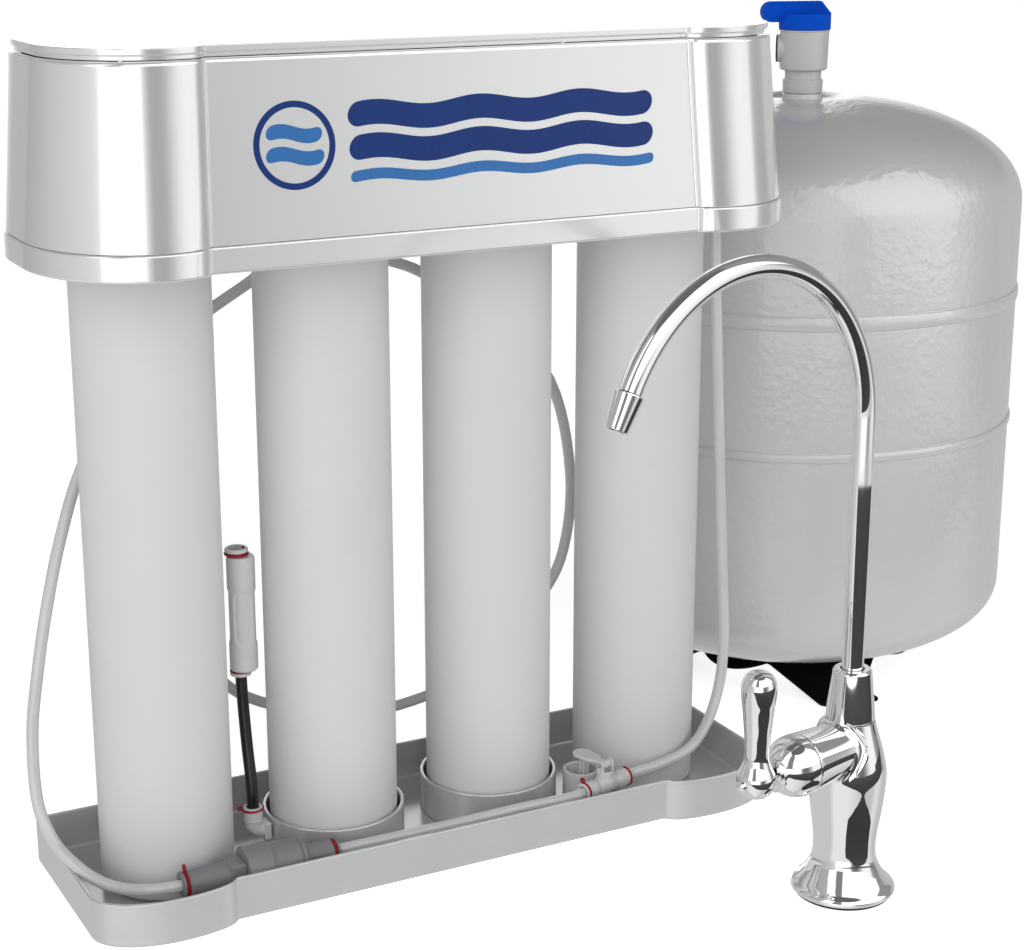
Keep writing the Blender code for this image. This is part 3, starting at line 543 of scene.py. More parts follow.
def piece(name, solid, material, slot=None, body="root", node=None, join=(), cut=(),
          sharp=33.0, weighted=True):
    """Turn a solid into a piece of the product; slot is not used."""
    ob = solid_object(name, solid, MATERIALS[material])
    for tool in join:
        combine(ob, "UNION", tool, MATERIALS[material])
    for tool in cut:
        combine(ob, "DIFFERENCE", tool, MATERIALS[material])
    ob.data.name = name
    ob.data.shade_smooth()
    ob.data.set_sharp_from_angle(angle=math.radians(sharp))
    if weighted:
        modifier = ob.modifiers.new("weighted_normal", 'WEIGHTED_NORMAL')
        modifier.keep_sharp = True
        modifier.weight = 60
    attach(ob, body)
    if node:
        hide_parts(node)
    return ob


def stand_in(node, solid, material, **options):
    """A piece that replaces a frame node and is named after it."""
    return piece("visual_" + node, solid, material, node=node, **options)


def paint_faces(ob, material, chosen):
    """Give a second material to the faces whose centre, in mm, is chosen."""
    ob.data.materials.append(MATERIALS[material])
    for face in ob.data.polygons:
        if chosen(face.center * 1000.0):
            face.material_index = len(ob.data.materials) - 1


# ============================================================ plan outlines
def plan(front, crease, lobe, bulge, end, side, back, back_rx, back_ry, back_steps,
         front_inset, back_inset, groove=0.0):
    """Outline seen from above: flat front, two bulging end lobes, rounded rear corners.

    front, bulge, side and back are y values and crease, lobe and end are x values on the
    right; the left is its mirror.  groove is the size of a channel where lobe meets front.
    """
    front, bulge = front + front_inset, bulge + front_inset
    end, back = end - front_inset, back - back_inset
    crease = crease - 0.42 * front_inset
    lobe = lobe - 0.42 * front_inset
    half = []
    if groove > 0:
        radius = 1.15 * groove
        half.append((crease - radius - 3.0, front))
        for k in range(8):
            w = math.pi / 2 * k / 7
            half.append((crease + 0.10 - radius + radius * math.sin(w),
                         front - radius + radius * math.cos(w)))
        start = 0.18
    else:
        for dx, dy in ((-2.4, 0.0), (-1.6, -0.05), (-1.0, -0.18), (-0.5, -0.42), (-0.15, -0.75)):
            half.append((crease + dx, front + dy))
        start = 0.16
    for i in range(15):                       # lobe, from the crease to its foremost point
        t = start + (math.pi / 2 - start) * i / 14
        half.append((lobe - (lobe - crease) * math.cos(t),
                     front + (bulge - front) * math.sin(t)))
    for i in range(1, 31):                    # lobe, round to the end
        t = math.pi / 2 * i / 30
        half.append((lobe + (end - lobe) * math.sin(t), side + (bulge - side) * math.cos(t)))
    rx, ry = max(back_rx - front_inset, 1.0), max(back_ry - back_inset, 1.0)
    for i in range(back_steps + 1):           # rear corner
        t = math.pi / 2 * i / back_steps
        half.append((end - rx * (1 - math.cos(t)), back - ry * (1 - math.sin(t))))
    return mirrored(half) + half


PANEL_FRONT = -69.9            # y of the head's flat front, before any inset


def tray_ring(depth, z):
    outline = plan(front=-59.7, crease=119.7, lobe=147.0, bulge=-67.6, end=186.0, side=-45.0,
                   back=51.3, back_rx=8.0, back_ry=8.0, back_steps=8,
                   front_inset=depth, back_inset=depth)
    return [(x, y, z) for x, y in outline]


def head_ring(depth, back_depth, groove, z):
    outline = plan(front=PANEL_FRONT, crease=123.1, lobe=143.0, bulge=-77.7, end=191.0,
                   side=-20.0, back=60.0, back_rx=47.0, back_ry=57.0, back_steps=24,
                   front_inset=depth, back_inset=back_depth, groove=groove)
    return [(x, y, z) for x, y in outline]


# From here on, profiles of turned pieces are (radius, height along the axis[, corner radius]).

# ===================================================================== tray
TRAY_SECTION = [               # (inset, height, corner radius)
    (5.0, 0.0), (0.0, 0.0, 3.4), (0.0, TRAY_HEIGHT, 0.75), (2.0, TRAY_HEIGHT, 0.75),
    (2.0, 2.2, 1.8), (8.0, 2.2)]
section = fillet(TRAY_SECTION, steps=6)
stand_in("drip_tray", loft([tray_ring(depth, z) for depth, z in section]), "tray_silver")

RING_INNER, RING_OUTER = 34.1, 36.1
for n in (2, 3):
    center, low, high = extent("locating_ring_%d" % n)
    profile = fillet([(RING_INNER, low.z, 0.2), (RING_OUTER, low.z, 0.2),
                      (RING_OUTER, high.z, 0.7), (RING_INNER, high.z, 0.7)], loop=True, steps=4)
    stand_in("locating_ring_%d" % n, turned(profile, 128, on_floor(center), loop=True),
             "tray_silver")

# =============================================================== cartridges
CARTRIDGE_PROFILE = [
    (0, CARTRIDGE_FLOOR + 0.6), (24.0, CARTRIDGE_FLOOR + 0.6, 0.5), (25.0, CARTRIDGE_FLOOR, 0.5),
    (CARTRIDGE_R, CARTRIDGE_FLOOR, 2.4), (CARTRIDGE_R, 319.0, 1.5), (29.0, 323.5, 1.0),
    (17.5, 326.0, 0.8), (15.5, 327.0, 0.5), (15.5, NECK_TOP, 0.6), (9.0, NECK_TOP, 0.3),
    (9.0, 325.0), (27.0, 321.0), (30.0, 317.0), (30.0, 6.0), (0, 6.0)]
rounded = fillet(CARTRIDGE_PROFILE)
# long walls get extra rows so that the surface grain and edge wear read evenly
profile = []
for (r0, z0), (r1, z1) in zip(rounded, rounded[1:]):
    profile.append((r0, z0))
    if abs(z1 - z0) > 60:
        profile += [(r0 + (r1 - r0) * k / 8, z0 + (z1 - z0) * k / 8) for k in range(1, 8)]
profile.append(rounded[-1])
for i, x in enumerate(CARTRIDGE_XS, 1):
    piece("visual_cartridge_%d" % i, turned(profile, 112, (x, 0, 0)), "cartridge_plastic",
          body="cartridge_%d" % i, node="cartridge_shell_%d" % i)

# ================================================================ head band
# gently barrelled face with a lip on top, and a floor plate with four round holes
HOLE_R = 33.4
BAND_SECTION = [               # (inset, height, corner radius)
    (3.2, BAND_BOTTOM), (0.0, BAND_BOTTOM, 1.1), (0.12, BAND_TOP, 1.15), (2.2, BAND_TOP, 0.2),
    (3.6, BAND_TOP), (3.6, BAND_BOTTOM + 3.6)]
holes = bmesh.new()
for x in CARTRIDGE_XS:
    turned([(0, BAND_BOTTOM - 4), (HOLE_R, BAND_BOTTOM - 4), (HOLE_R, BAND_BOTTOM + 8),
            (0, BAND_BOTTOM + 8)], 112, (x, 0, 0), solid=holes)
section = fillet(BAND_SECTION, steps=6)
stand_in("head_base", loft([head_ring(depth, depth, 0.85, z) for depth, z in section]),
         "silver_paint", slot="silver_casing", cut=[holes])

# ============================================================== head casing
# tapered shell with a rounded shoulder, standing on the band over a fine seam
CASING_BOTTOM = BAND_TOP + 0.16


def lean(z):
    """How far the front has moved in at height z."""
    t = (z - CASING_BOTTOM) / (CASING_TOP - CASING_BOTTOM)
    return 1.0 + 7.35 * t - 0.45 * t * t


face_heights = [CASING_BOTTOM + 0.55]
face_heights += [CASING_BOTTOM + (CASING_TOP - 4.2 - CASING_BOTTOM) * k / 10
                 for k in range(1, 11)]
shoulder_inset = lean(CASING_TOP - 3.4)
shoulder = fillet([(lean(CASING_TOP - 4.4), CASING_TOP - 4.4), (shoulder_inset, CASING_TOP, 3.6),
                   (shoulder_inset + 7.5, CASING_TOP)], steps=9)[1:]
outer = [(1.9, CASING_BOTTOM), (1.2, CASING_BOTTOM + 0.05), (1.05, CASING_BOTTOM + 0.25)]
outer += [(lean(z), z) for z in face_heights]
outer += [station for station in shoulder if station[0] <= 13.3]
inner = [(13.4, CASING_TOP - 1.2), (lean(CASING_TOP - 5) + 2.6, CASING_TOP - 4.5),
         (1.0 + 2.4, CASING_BOTTOM)]
rings = [head_ring(depth, min(1.0 + max(0.0, depth - shoulder_inset), 7.0), 1.0, z)
         for depth, z in outer]
rings += [head_ring(depth, 3.4 if depth < 12 else 6.0, 0.6, z) for depth, z in inner]
rear_window = rounded_box((-120, 50, 330), (120, 70, 396), 3.0)
stand_in("head_casing", loft(rings, closed=True), "silver_paint", slot="silver_casing",
         cut=[rear_window])

# ================================================================= head lid
# flat top with a rim that overhangs a shadow groove
LID_SECTION = [                # (inset, height, corner radius)
    (15.5, LID_BOTTOM), (10.35, LID_BOTTOM, 0.2), (10.25, LID_BOTTOM + 1.9, 0.4),
    (8.95, LID_BOTTOM + 2.3, 0.3), (8.85, LID_TOP, 0.42), (16.0, LID_TOP)]
rings = [head_ring(depth, depth - 7.9 if depth > 8.9 else 1.0, 0.85, z)
         for depth, z in fillet(LID_SECTION, steps=6)]
stand_in("head_lid", loft(rings), "silver_paint", slot="silver_casing")

# ============================================================ printed marks
# a round badge and wave stripes on the front panel
PRINT_LIFT, PRINT_ROOT = 0.16, -0.12       # face and back of the print, out from the panel
STRIPE_SECTION = (                         # (share of half height, lift)
    (-1, PRINT_LIFT), (-0.33, PRINT_LIFT), (0.33, PRINT_LIFT), (1, PRINT_LIFT),
    (1, PRINT_ROOT), (-1, PRINT_ROOT))


def on_panel(x, z, lift):
    return Vector((x, PANEL_FRONT + lean(z) - lift, z))


def stripe(left, right, height, half, swing, waves, steps=72, solid=None):
    """Round-ended wavy stripe, 2 * half high, swinging up and down by swing."""
    length = right - left
    end = half / length
    ends = [end * (1 - math.cos(math.pi / 2 * k / 9)) for k in range(9)]
    places = ends + [end + (1 - 2 * end) * i / steps for i in range(steps + 1)]
    places += [1 - t for t in reversed(ends)]

    def rounding(distance):
        return math.sqrt(max(0.0, 1 - (1 - min(1, distance / half)) ** 2))

    rings = []
    for t in places:
        middle = height + swing * math.sin(2 * math.pi * waves * t)
        reach = half * max(0.03, min(rounding(t * length), rounding((1 - t) * length)))
        rings.append([on_panel(left + length * t, middle + reach * share, lift)
                      for share, lift in STRIPE_SECTION])
    return loft(rings, solid=solid)


def badge_ring(x, z, outer_radius, inner_radius, segments=72):
    angles = [2 * math.pi * k / segments for k in range(segments)]
    corners = ((outer_radius, PRINT_ROOT), (outer_radius, PRINT_LIFT),
               (inner_radius, PRINT_LIFT), (inner_radius, PRINT_ROOT))
    return loft([[on_panel(x + r * math.cos(a), z + r * math.sin(a), lift) for a in angles]
                 for r, lift in corners], closed=True)


def mark(name, solid, material):
    piece("mark_" + name, solid, material, slot="silver_casing", sharp=40)


waves = stripe(-56, 99, 375.0, half=5.4, swing=1.5, waves=3.0)
stripe(-56, 99, 360.6, half=5.4, swing=1.5, waves=3.0, solid=waves)
mark("wave_navy", waves, "print_navy")
mark("wave_azure", stripe(-56, 99, 348.6, half=2.4, swing=1.2, waves=3.0), "print_azure")
mark("badge_ring", badge_ring(-81.5, 364.0, 19.0, 16.2), "print_navy")
waves = stripe(-94.5, -68.5, 369.0, half=3.1, swing=1.3, waves=1.0, steps=40)
stripe(-95.0, -68.0, 359.4, half=3.1, swing=1.3, waves=1.0, steps=40, solid=waves)
mark("badge_waves", waves, "print_azure")

# ============================================================= wall bracket
# bent sheet with a skirt below the bend and two keyholes
BRACKET_HALF = 118             # half width in x
BRACKET_Y = 57.75              # middle of the upright sheet
SHEET_HALF = 0.75              # half thickness
KEYHOLE_X = 80
KEYHOLE_LOW, KEYHOLE_HIGH = 374.0, 381.5
path = fillet([(-18.0, 355.35), (BRACKET_Y, 355.35, 3.0), (BRACKET_Y, 394.0)], steps=8)
one_face, other_face = [], []
for i, (y, z) in enumerate(path):
    before = Vector(path[max(i - 1, 0)])
    along = (Vector(path[min(i + 1, len(path) - 1)]) - before).normalized()
    one_face.append((y - along.y * SHEET_HALF, z + along.x * SHEET_HALF))
    other_face.append((y + along.y * SHEET_HALF, z - along.x * SHEET_HALF))
section = one_face + other_face[::-1]
sheet = loft([[(x, y, z) for y, z in section]
              for x in (-BRACKET_HALF, -117.4, 117.4, BRACKET_HALF)])
skirt = rounded_box((-BRACKET_HALF, BRACKET_Y - SHEET_HALF, 332.0),
                    (BRACKET_HALF, BRACKET_Y + SHEET_HALF, 357.0), 0.5)
rounds, slots = bmesh.new(), bmesh.new()
for x in (-KEYHOLE_X, KEYHOLE_X):
    for radius, z in ((4.5, KEYHOLE_LOW), (2.6, KEYHOLE_HIGH)):
        turned([(0, -6), (radius, -6), (radius, 6), (0, 6)], 40, (x, 57.7, z), (0, 1, 0),
               solid=rounds)
    rounded_box((x - 2.6, 50, KEYHOLE_LOW), (x + 2.6, 64, KEYHOLE_HIGH), 0.3, solid=slots)
stand_in("wall_bracket", sheet, "zinc_steel", join=[skirt], cut=[rounds, slots])


# ============================================================ locking clips
def clip(node, radius, wire, base, axis, toward, gap=62.0, finger=True):
    """Open wire ring round an axis, starting at toward, where it may end in a finger loop.

    gap is the open part in degrees.
    """
    base = Vector(base)
    axis = Vector(axis).normalized()
    toward = Vector(toward)
    toward = (toward - axis * toward.dot(axis)).normalized()
    side = axis.cross(toward)
    path = []
    for k in range(41):
        a = math.radians(360.0 - gap) * (1 - k / 40)
        path.append(base + (toward * math.cos(a) + side * math.sin(a)) * radius)
    if finger:
        loop = wire * 2.1
        for k in range(1, 16):
            a = math.pi - math.radians(21.0 * k)
            path.append(base + toward * (radius + loop + loop * math.cos(a))
                        + side * (loop * math.sin(a)) + axis * (wire * 0.06 * k))
    stand_in(node, swept(path, wire, segments=12, tip=wire * 0.9), "clip_red", sharp=50,
             weighted=False)


# ========================================================== inlet regulator
# turned body along +X from its left end face, with a square section behind the left barrel
REG_LENGTH = REG_RIGHT - REG_LEFT
KEY_HALF = 6.9
REGULATOR_PROFILE = [
    (SOCKET_R, 12.0), (SOCKET_R, 0.0, 0.25), (6.5, 0.0, 0.45), (6.5, 1.25, 0.25),
    (5.3, 1.25, 0.15), (5.3, 3.1, 0.15), (6.35, 3.1, 0.3), (6.75, 22.6, 0.3), (7.0, 23.0),
    (7.0, 31.0), (11.9, 31.3, 0.3), (12.3, 31.9, 0.3), (12.3, 43.9, 0.4), (11.4, 44.3, 0.12),
    (11.4, 44.6, 0.12), (11.0, 44.9, 0.2), (10.6, 58.2, 0.5), (10.2, 59.0, 0.2),
    (9.5, 59.1, 0.12), (9.5, 59.6, 0.12), (9.9, 59.8, 0.2), (9.7, 61.6, 0.5), (8.2, 62.8, 0.5),
    (6.9, 63.2, 0.3), (6.8, 65.2, 0.3), (6.15, 65.6, 0.25), (5.9, REG_LENGTH - 3.1, 0.25),
    (5.1, REG_LENGTH - 3.1, 0.12), (5.1, REG_LENGTH - 1.2, 0.12), (6.1, REG_LENGTH - 1.2, 0.2),
    (6.1, REG_LENGTH, 0.4), (SOCKET_R, REG_LENGTH, 0.2), (SOCKET_R, REG_LENGTH - 12.0),
    (1.6, REG_LENGTH - 12.0), (1.6, 12.0)]
key = rounded_box((REG_LEFT + 23.0, REG_Y - KEY_HALF, REG_Z - KEY_HALF),
                  (REG_LEFT + 31.2, REG_Y + KEY_HALF, REG_Z + KEY_HALF), 0.9)
stand_in("inlet_regulator", turned(fillet(REGULATOR_PROFILE, loop=True, steps=4), 80,
                                   (REG_LEFT, REG_Y, REG_Z), (1, 0, 0), loop=True),
         "regulator_grey", join=[key])
clip("clip_regulator_in", 6.1, 0.72, (REG_LEFT + 2.2, REG_Y, REG_Z), (1, 0, 0), (0, 0.25, 1))
clip("clip_regulator_out", 5.8, 0.66, (REG_RIGHT - 2.2, REG_Y, REG_Z), (1, 0, 0), (0, 0.25, 1),
     finger=False)

# ========================================================== leak stop valve
# level barrel under the lever's pin, a riser on top and two hinge ears
LEAK_CENTER = Vector((PIN.x, PIN.y, 20.0))
LEAK_START = LEAK_CENTER - LEAK_AXIS * 16.5
AWAY = across(LEAK_AXIS)       # from the hinge towards the cup
EAR_R = 2.2
LEAK_BARREL_PROFILE = [
    (SOCKET_R, 9.0), (SOCKET_R, 0.0, 0.2), (4.8, 0.0, 0.35), (4.8, 0.8, 0.15), (4.15, 0.9, 0.1),
    (4.15, 2.1, 0.1), (4.8, 2.2, 0.25), (4.95, 6.8, 1.0), (4.6, 8.4, 0.8), (3.9, 9.4, 0.6),
    (3.9, 10.8, 0.6), (4.6, 11.8, 0.6), (4.7, 16.5, 1.0), (4.6, 21.2, 0.6), (3.9, 22.2, 0.6),
    (3.9, 23.6, 0.6), (4.6, 24.6, 0.8), (4.95, 26.2, 1.0), (4.8, 30.8, 0.25), (4.15, 30.9, 0.1),
    (4.15, 32.1, 0.1), (4.8, 32.2, 0.15), (4.8, 33.0, 0.35), (SOCKET_R, 33.0, 0.2),
    (SOCKET_R, 24.0), (1.5, 24.0), (1.5, 9.0)]
RISER_SIDE = [(5.6, 20.0), (5.5, 22.3), (5.0, 23.6), (4.45, 24.4), (4.3, 25.2), (4.3, 27.2)]
RISER_MOUTH = [(4.3, 27.2), (4.3, 28.0, 0.35), (3.2, 28.0, 0.3), (2.9, 26.8, 0.3), (0, 26.8)]


def hinge_ear(start, end):
    """Round-topped ear standing on the riser between two places along the barrel."""
    outline = [(-EAR_R, 25.8), (EAR_R, 25.8)]
    outline += [(EAR_R * math.cos(a), PIN.z + EAR_R * math.sin(a))
                for a in (math.pi * k / 14 for k in range(15))]
    stations = ((0.25, 0.0), (0.0, 0.25), (0.0, end - start - 0.25), (0.25, end - start))
    return loft([[LEAK_CENTER + LEAK_AXIS * (start + shift) + AWAY * a
                  + Vector((0, 0, z - LEAK_CENTER.z)) for a, z in inset(outline, depth)]
                 for depth, shift in stations])


def pin_hole():
    return turned([(0, -8), (1.2, -8), (1.2, 8), (0, 8)], 32, PIN, LEAK_AXIS)


barrel = turned(fillet(LEAK_BARREL_PROFILE, loop=True, steps=3), 64, LEAK_START, LEAK_AXIS,
                loop=True)
riser = turned([(0, 20.0)] + flow(RISER_SIDE, 4) + fillet(RISER_MOUTH, steps=3)[1:], 48,
               on_floor(PIN))
stand_in("leak_stop_valve", barrel, "fitting_white",
         join=[riser, hinge_ear(-4.1, -2.9), hinge_ear(2.9, 4.1)], cut=[pin_hole()])
profile = fillet([(0, -4.9), (0.95, -4.9, 0.25), (0.95, 4.9, 0.25), (0, 4.9)], steps=3)
stand_in("leak_stop_pin", turned(profile, 28, PIN, LEAK_AXIS), "zinc_steel")

# ========================================================== leak stop lever
# paddle with a cross-finned plunger under its far end
PADDLE_HALF = 4.9
paddle_end = (on_floor(CUP) - on_floor(PIN)).dot(AWAY) - 4.4
half = flow([(2.2, 2.0), (2.25, 4.6), (3.0, 6.4), (4.1, 8.2), (4.5, 12.0), (PADDLE_HALF, 16.0),
             (PADDLE_HALF, paddle_end)], 4)       # (half width, distance from the pin)
tip = [(PADDLE_HALF * math.cos(t), paddle_end + PADDLE_HALF * math.sin(t))
       for t in (math.pi * k / 24 for k in range(1, 24))]
outline = half + tip + mirrored(half)
place = Matrix(((LEAK_AXIS.x, AWAY.x, 0, PIN.x), (LEAK_AXIS.y, AWAY.y, 0, PIN.y),
                (0, 0, 1, 0), (0, 0, 0, 1)))
paddle = loft([[place @ Vector((x, y, z)) for x, y in inset(outline, depth)]
               for depth, z in rims(0.45, PIN.z - 0.7, PIN.z + 1.15, 3)])
hinge = turned(fillet([(0, -2.45), (2.05, -2.45, 0.3), (2.05, 2.45, 0.3), (0, 2.45)], steps=3),
               40, PIN, LEAK_AXIS)
plunger = CUP - AWAY * 2.0                        # a little nearer the hinge than the cup
stem = turned(fillet([(0, 10.4), (5.2, 10.4, 0.3), (5.2, 11.5, 0.3), (1.3, 11.7, 0.5),
                      (1.15, 31.2), (0, 31.2)], steps=3), 40, plunger)
fin_side = flow([(4.9, 13.6), (3.6, 16.8), (2.7, 19.4), (2.5, 22.5), (2.5, 31.2)], 3)
fin_half = [(5.0, 12.6)] + fin_side
fin_outline = [(-5.0, 11.0), (5.0, 11.0)] + fin_half + mirrored(fin_half)
FIN_STATIONS = ((-0.5, 0.18), (-0.32, 0.0), (0.32, 0.0), (0.5, 0.18))   # (sideways, inset)
axis_angle = math.atan2(LEAK_AXIS.y, LEAK_AXIS.x)
fins = [upright_plate(fin_outline, FIN_STATIONS, plunger,
                      heading(math.radians(degrees) + axis_angle)) for degrees in (45, 135)]
stand_in("leak_stop_lever", paddle, "fitting_white", body="leak_lever",
         join=[hinge, stem] + fins, cut=[pin_hole()])

# ============================================================ leak stop cup
cup_outer = CUP_R + 0.2
profile = fillet([(0, 2.5), (cup_outer, 2.5, 0.4), (cup_outer, 21.0, 0.6), (7.95, 21.0, 0.6),
                  (7.85, 4.2, 0.8), (0, 4.2)], steps=4)
stand_in("leak_stop_cup", turned(profile, 80, CUP), "fitting_white")
profile = fillet([(0, 4.6), (7.4, 4.6, 0.4), (7.4, 9.9, 0.7), (0, 9.7)], steps=3)
stand_in("leak_stop_pad", turned(profile, 48, CUP), "wafer_pad", slot="wafer")
clip("clip_leak_in", 4.75, 0.58, LEAK_START + LEAK_AXIS * 1.5, LEAK_AXIS, (0, 0.35, 1))
clip("clip_leak_out", 4.75, 0.58, LEAK_START + LEAK_AXIS * 31.5, LEAK_AXIS, (0, 0.35, 1),
     finger=False)

# ========================================================= drain restrictor
# upright housing with four shallow oval windows, a little off the line of its two ports
HOUSING_R = 7.0
HOUSING = RESTRICTOR + Vector((1.55, -0.85, 0))
WINDOW_AZIMUTHS = (-105, -15, 75, 165)
WINDOW_HALF, WINDOW_STRAIGHT, WINDOW_Z = 4.9, 9.3, 127.0


def oval_dents(angle, height):
    """Radius factor that sinks the oval windows into the housing."""
    if not 101.0 < height < 156.0:
        return 1.0
    rise = max(0.0, abs(height - WINDOW_Z) - WINDOW_STRAIGHT)
    nearest = 1e9
    for azimuth in WINDOW_AZIMUTHS:
        off = (math.degrees(angle) - azimuth + 180.0) % 360.0 - 180.0
        nearest = min(nearest, math.hypot(math.radians(off) * HOUSING_R, rise) - WINDOW_HALF)
    sunk = min(1.0, max(0.0, -nearest / 0.55))
    return 1.0 - 0.075 * sunk * sunk * (3 - 2 * sunk)


TOP_PORT_PROFILE = [
    (0, 150.0), (4.6, 150.0), (4.7, 160.0, 0.2), (5.75, 160.1, 0.3), (5.75, 161.6, 0.6),
    (4.9, 162.1, 0.4), (4.1, 161.9, 0.3), (3.9, 152.5), (0, 152.5)]
LOW_PORT_PROFILE = [
    (0, 104.0), (4.8, 104.0), (4.8, 97.9, 0.1), (5.35, 97.6, 0.2), (5.3, 96.1, 0.4), (0, 96.0)]
profile = fillet([(SOCKET_R, 150.0), (SOCKET_R, 158.0, 0.1), (6.4, 158.0, 0.5),
                  (HOUSING_R, 156.6, 0.8)], steps=4)
profile += [(HOUSING_R, 156.0 - 0.5 * k) for k in range(111)]
profile += fillet([(HOUSING_R, 100.6), (HOUSING_R, 99.8, 0.8), (6.3, 99.0, 0.5),
                   (SOCKET_R, 99.0, 0.1), (SOCKET_R, 108.0)], steps=4)[1:]
profile += [(1.5, 108.0), (1.5, 150.0)]
ports = turned(fillet(TOP_PORT_PROFILE, steps=4), 80, RESTRICTOR)
turned(fillet(LOW_PORT_PROFILE, steps=3), 80, RESTRICTOR, solid=ports)
restrictor = stand_in("drain_restrictor",
                      turned(profile, 144, HOUSING, loop=True, dent=oval_dents),
                      "fitting_white", join=[ports])


def in_port_mouth(point):
    away = math.hypot(point.x - RESTRICTOR.x, point.y - RESTRICTOR.y)
    return 151.0 < point.z < 161.2 and away < 4.0


paint_faces(restrictor, "rubber", in_port_mouth)
for node, radius, wire, z in (("clip_restrictor_top", 5.45, 0.72, 159.1),
                              ("clip_restrictor_low", 5.0, 0.45, 98.4)):
    clip(node, radius, wire, (RESTRICTOR.x, RESTRICTOR.y, z), UP, (-0.9, 0.6, 0),
         gap=40, finger=False)

# ============================================================== drain elbow
# collet, bend towards +X and a foot block
COLLET_PROFILE = [
    (0, 18.6), (4.0, 18.6), (4.15, 21.6, 0.2), (4.75, 21.9, 0.3), (4.8, 23.0, 0.3),
    (4.5, 23.3, 0.1), (4.75, 23.7, 0.2), (4.8, 26.5, 0.3), (4.2, 26.6, 0.1), (4.2, 27.9, 0.1),
    (5.0, 28.0, 0.2), (4.95, 29.3, 0.5), (SOCKET_R, 29.4, 0.2), (SOCKET_R, 20.0), (0, 20.0)]
BEND_R = 4.5
collet = turned(fillet(COLLET_PROFILE, steps=4), 64, (ELBOW_X, ELBOW_Y, 0))
path = [Vector((ELBOW_X, ELBOW_Y, 22.0)), Vector((ELBOW_X, ELBOW_Y, 21.4))]
for k in range(11):
    a = math.pi / 2 * k / 10
    path.append(Vector((ELBOW_X + BEND_R * (1 - math.cos(a)), ELBOW_Y,
                        20.9 - BEND_R * math.sin(a))))
path.append(Vector((ELBOW_X + 6.4, ELBOW_Y, 16.4)))
block = rounded_box((ELBOW_X + 4.6, ELBOW_Y - 4.4, 11.4), (ELBOW_X + 8.1, ELBOW_Y + 4.4, 20.4),
                    0.8)
stand_in("drain_elbow", collet, "fitting_white", join=[swept(path, 3.85, segments=40), block])
clip("clip_elbow", 5.15, 0.55, (ELBOW_X, ELBOW_Y, 28.5), (-0.05, 0, 1), (-0.93, 0.36, 0), gap=30)


# =================================================================== tubing
def tube(node, points, material="tubing_white", slot="tubing"):
    """Hollow tube along a smooth line through (x, y, z) points."""
    stand_in(node, swept(curve(points), TUBE_R, TUBE_BORE, 28), material, slot=slot, sharp=60,
             weighted=False)


def leak_point(distance):
    """Point on the leak stop's axis, measured from its start face."""
    return LEAK_START + LEAK_AXIS * distance


UNDER_HEAD = BAND_BOTTOM - 0.3
tube("tube_feed", [
    (REG_LEFT + 11.5, REG_Y, REG_Z), (REG_LEFT + 3.0, REG_Y, REG_Z),
    (REG_LEFT - 4.0, REG_Y, REG_Z), (-155.5, -42.2, 17.2), (-166, -36.0, 17.3),
    (-175.5, -27.3, 19.6), (-183.5, -17.0, 25.2), (-190.3, -5.0, 34.0), (-194.6, 4.0, 52.0),
    (-193.6, 9.0, 84.0), (-189.0, 10.6, 113.0), (-181.8, 13.5, 144.0), (-170.6, 22.5, 175.0),
    (-154.0, 36.5, 205.0), (-126, 48.0, 242.0), (-88, 45.0, 270.0), (-60, 41.5, 288.0),
    (-48, 40.0, 303.0), (-46, 40.0, UNDER_HEAD)])
tube("tube_regulator_to_leak_stop", [
    (REG_RIGHT - 11.5, REG_Y, REG_Z), (REG_RIGHT + 1.0, REG_Y, REG_Z), (-30, -45.0, 17.2),
    (5, -47.4, 18.4), (36, -50.8, 20.6), leak_point(-9.0), leak_point(-1.0), leak_point(8.5)])
tube("tube_leak_stop_to_head", [
    leak_point(24.5), leak_point(34.0), leak_point(38.0), (127, -38.6, 21.5),
    (148, -35.0, 25.0), (167, -24.0, 34.0), (179, -16.5, 53.0), (181.5, -15.0, 78.0),
    (180, -15.0, 105.0), (177, -15.0, 155.0), (173.5, -15.0, 215.0), (169.5, -15.0, 285.0),
    (168.5, -15.0, UNDER_HEAD)])
tube("tube_loop", [
    (0, 40.0, UNDER_HEAD), (0.5, 40.0, 303.0), (7, 40.0, 291.5), (27.5, 40.0, 282.3),
    (68, 41.0, 256.0), (103, 41.0, 217.5), (116, 41.0, 165.0), (112, 41.0, 121.0),
    (96, 41.0, 94.0), (62, 41.0, 63.0), (26, 41.0, 50.5), (-20, 41.0, 49.0), (-65, 41.0, 64.6),
    (-90, 41.0, 84.0), (-115, 40.0, 125.0), (-126, 39.5, 180.0), (-128, 39.5, 250.0),
    (-128, 39.5, UNDER_HEAD)])
tube("tube_drain", [
    (RESTRICTOR.x, RESTRICTOR.y, 107.0), (RESTRICTOR.x, RESTRICTOR.y, 95.0),
    (RESTRICTOR.x, RESTRICTOR.y - 1.5, 80.0), (RESTRICTOR.x - 0.2, RESTRICTOR.y - 6.0, 58.0),
    (ELBOW_X, ELBOW_Y, 38.0), (ELBOW_X, ELBOW_Y, 20.6)], "tubing_black", "tubing_black")


# =============================================================== tank shell
def squircle(radius, height, power, steps):
    """Quarter superellipse of (radius, height) points, from the axis outwards."""
    angles = [math.pi / 2 * i / steps for i in range(steps + 1)]
    return [(radius * math.sin(t) ** (2 / power), height * math.cos(t) ** (2 / power))
            for t in angles]


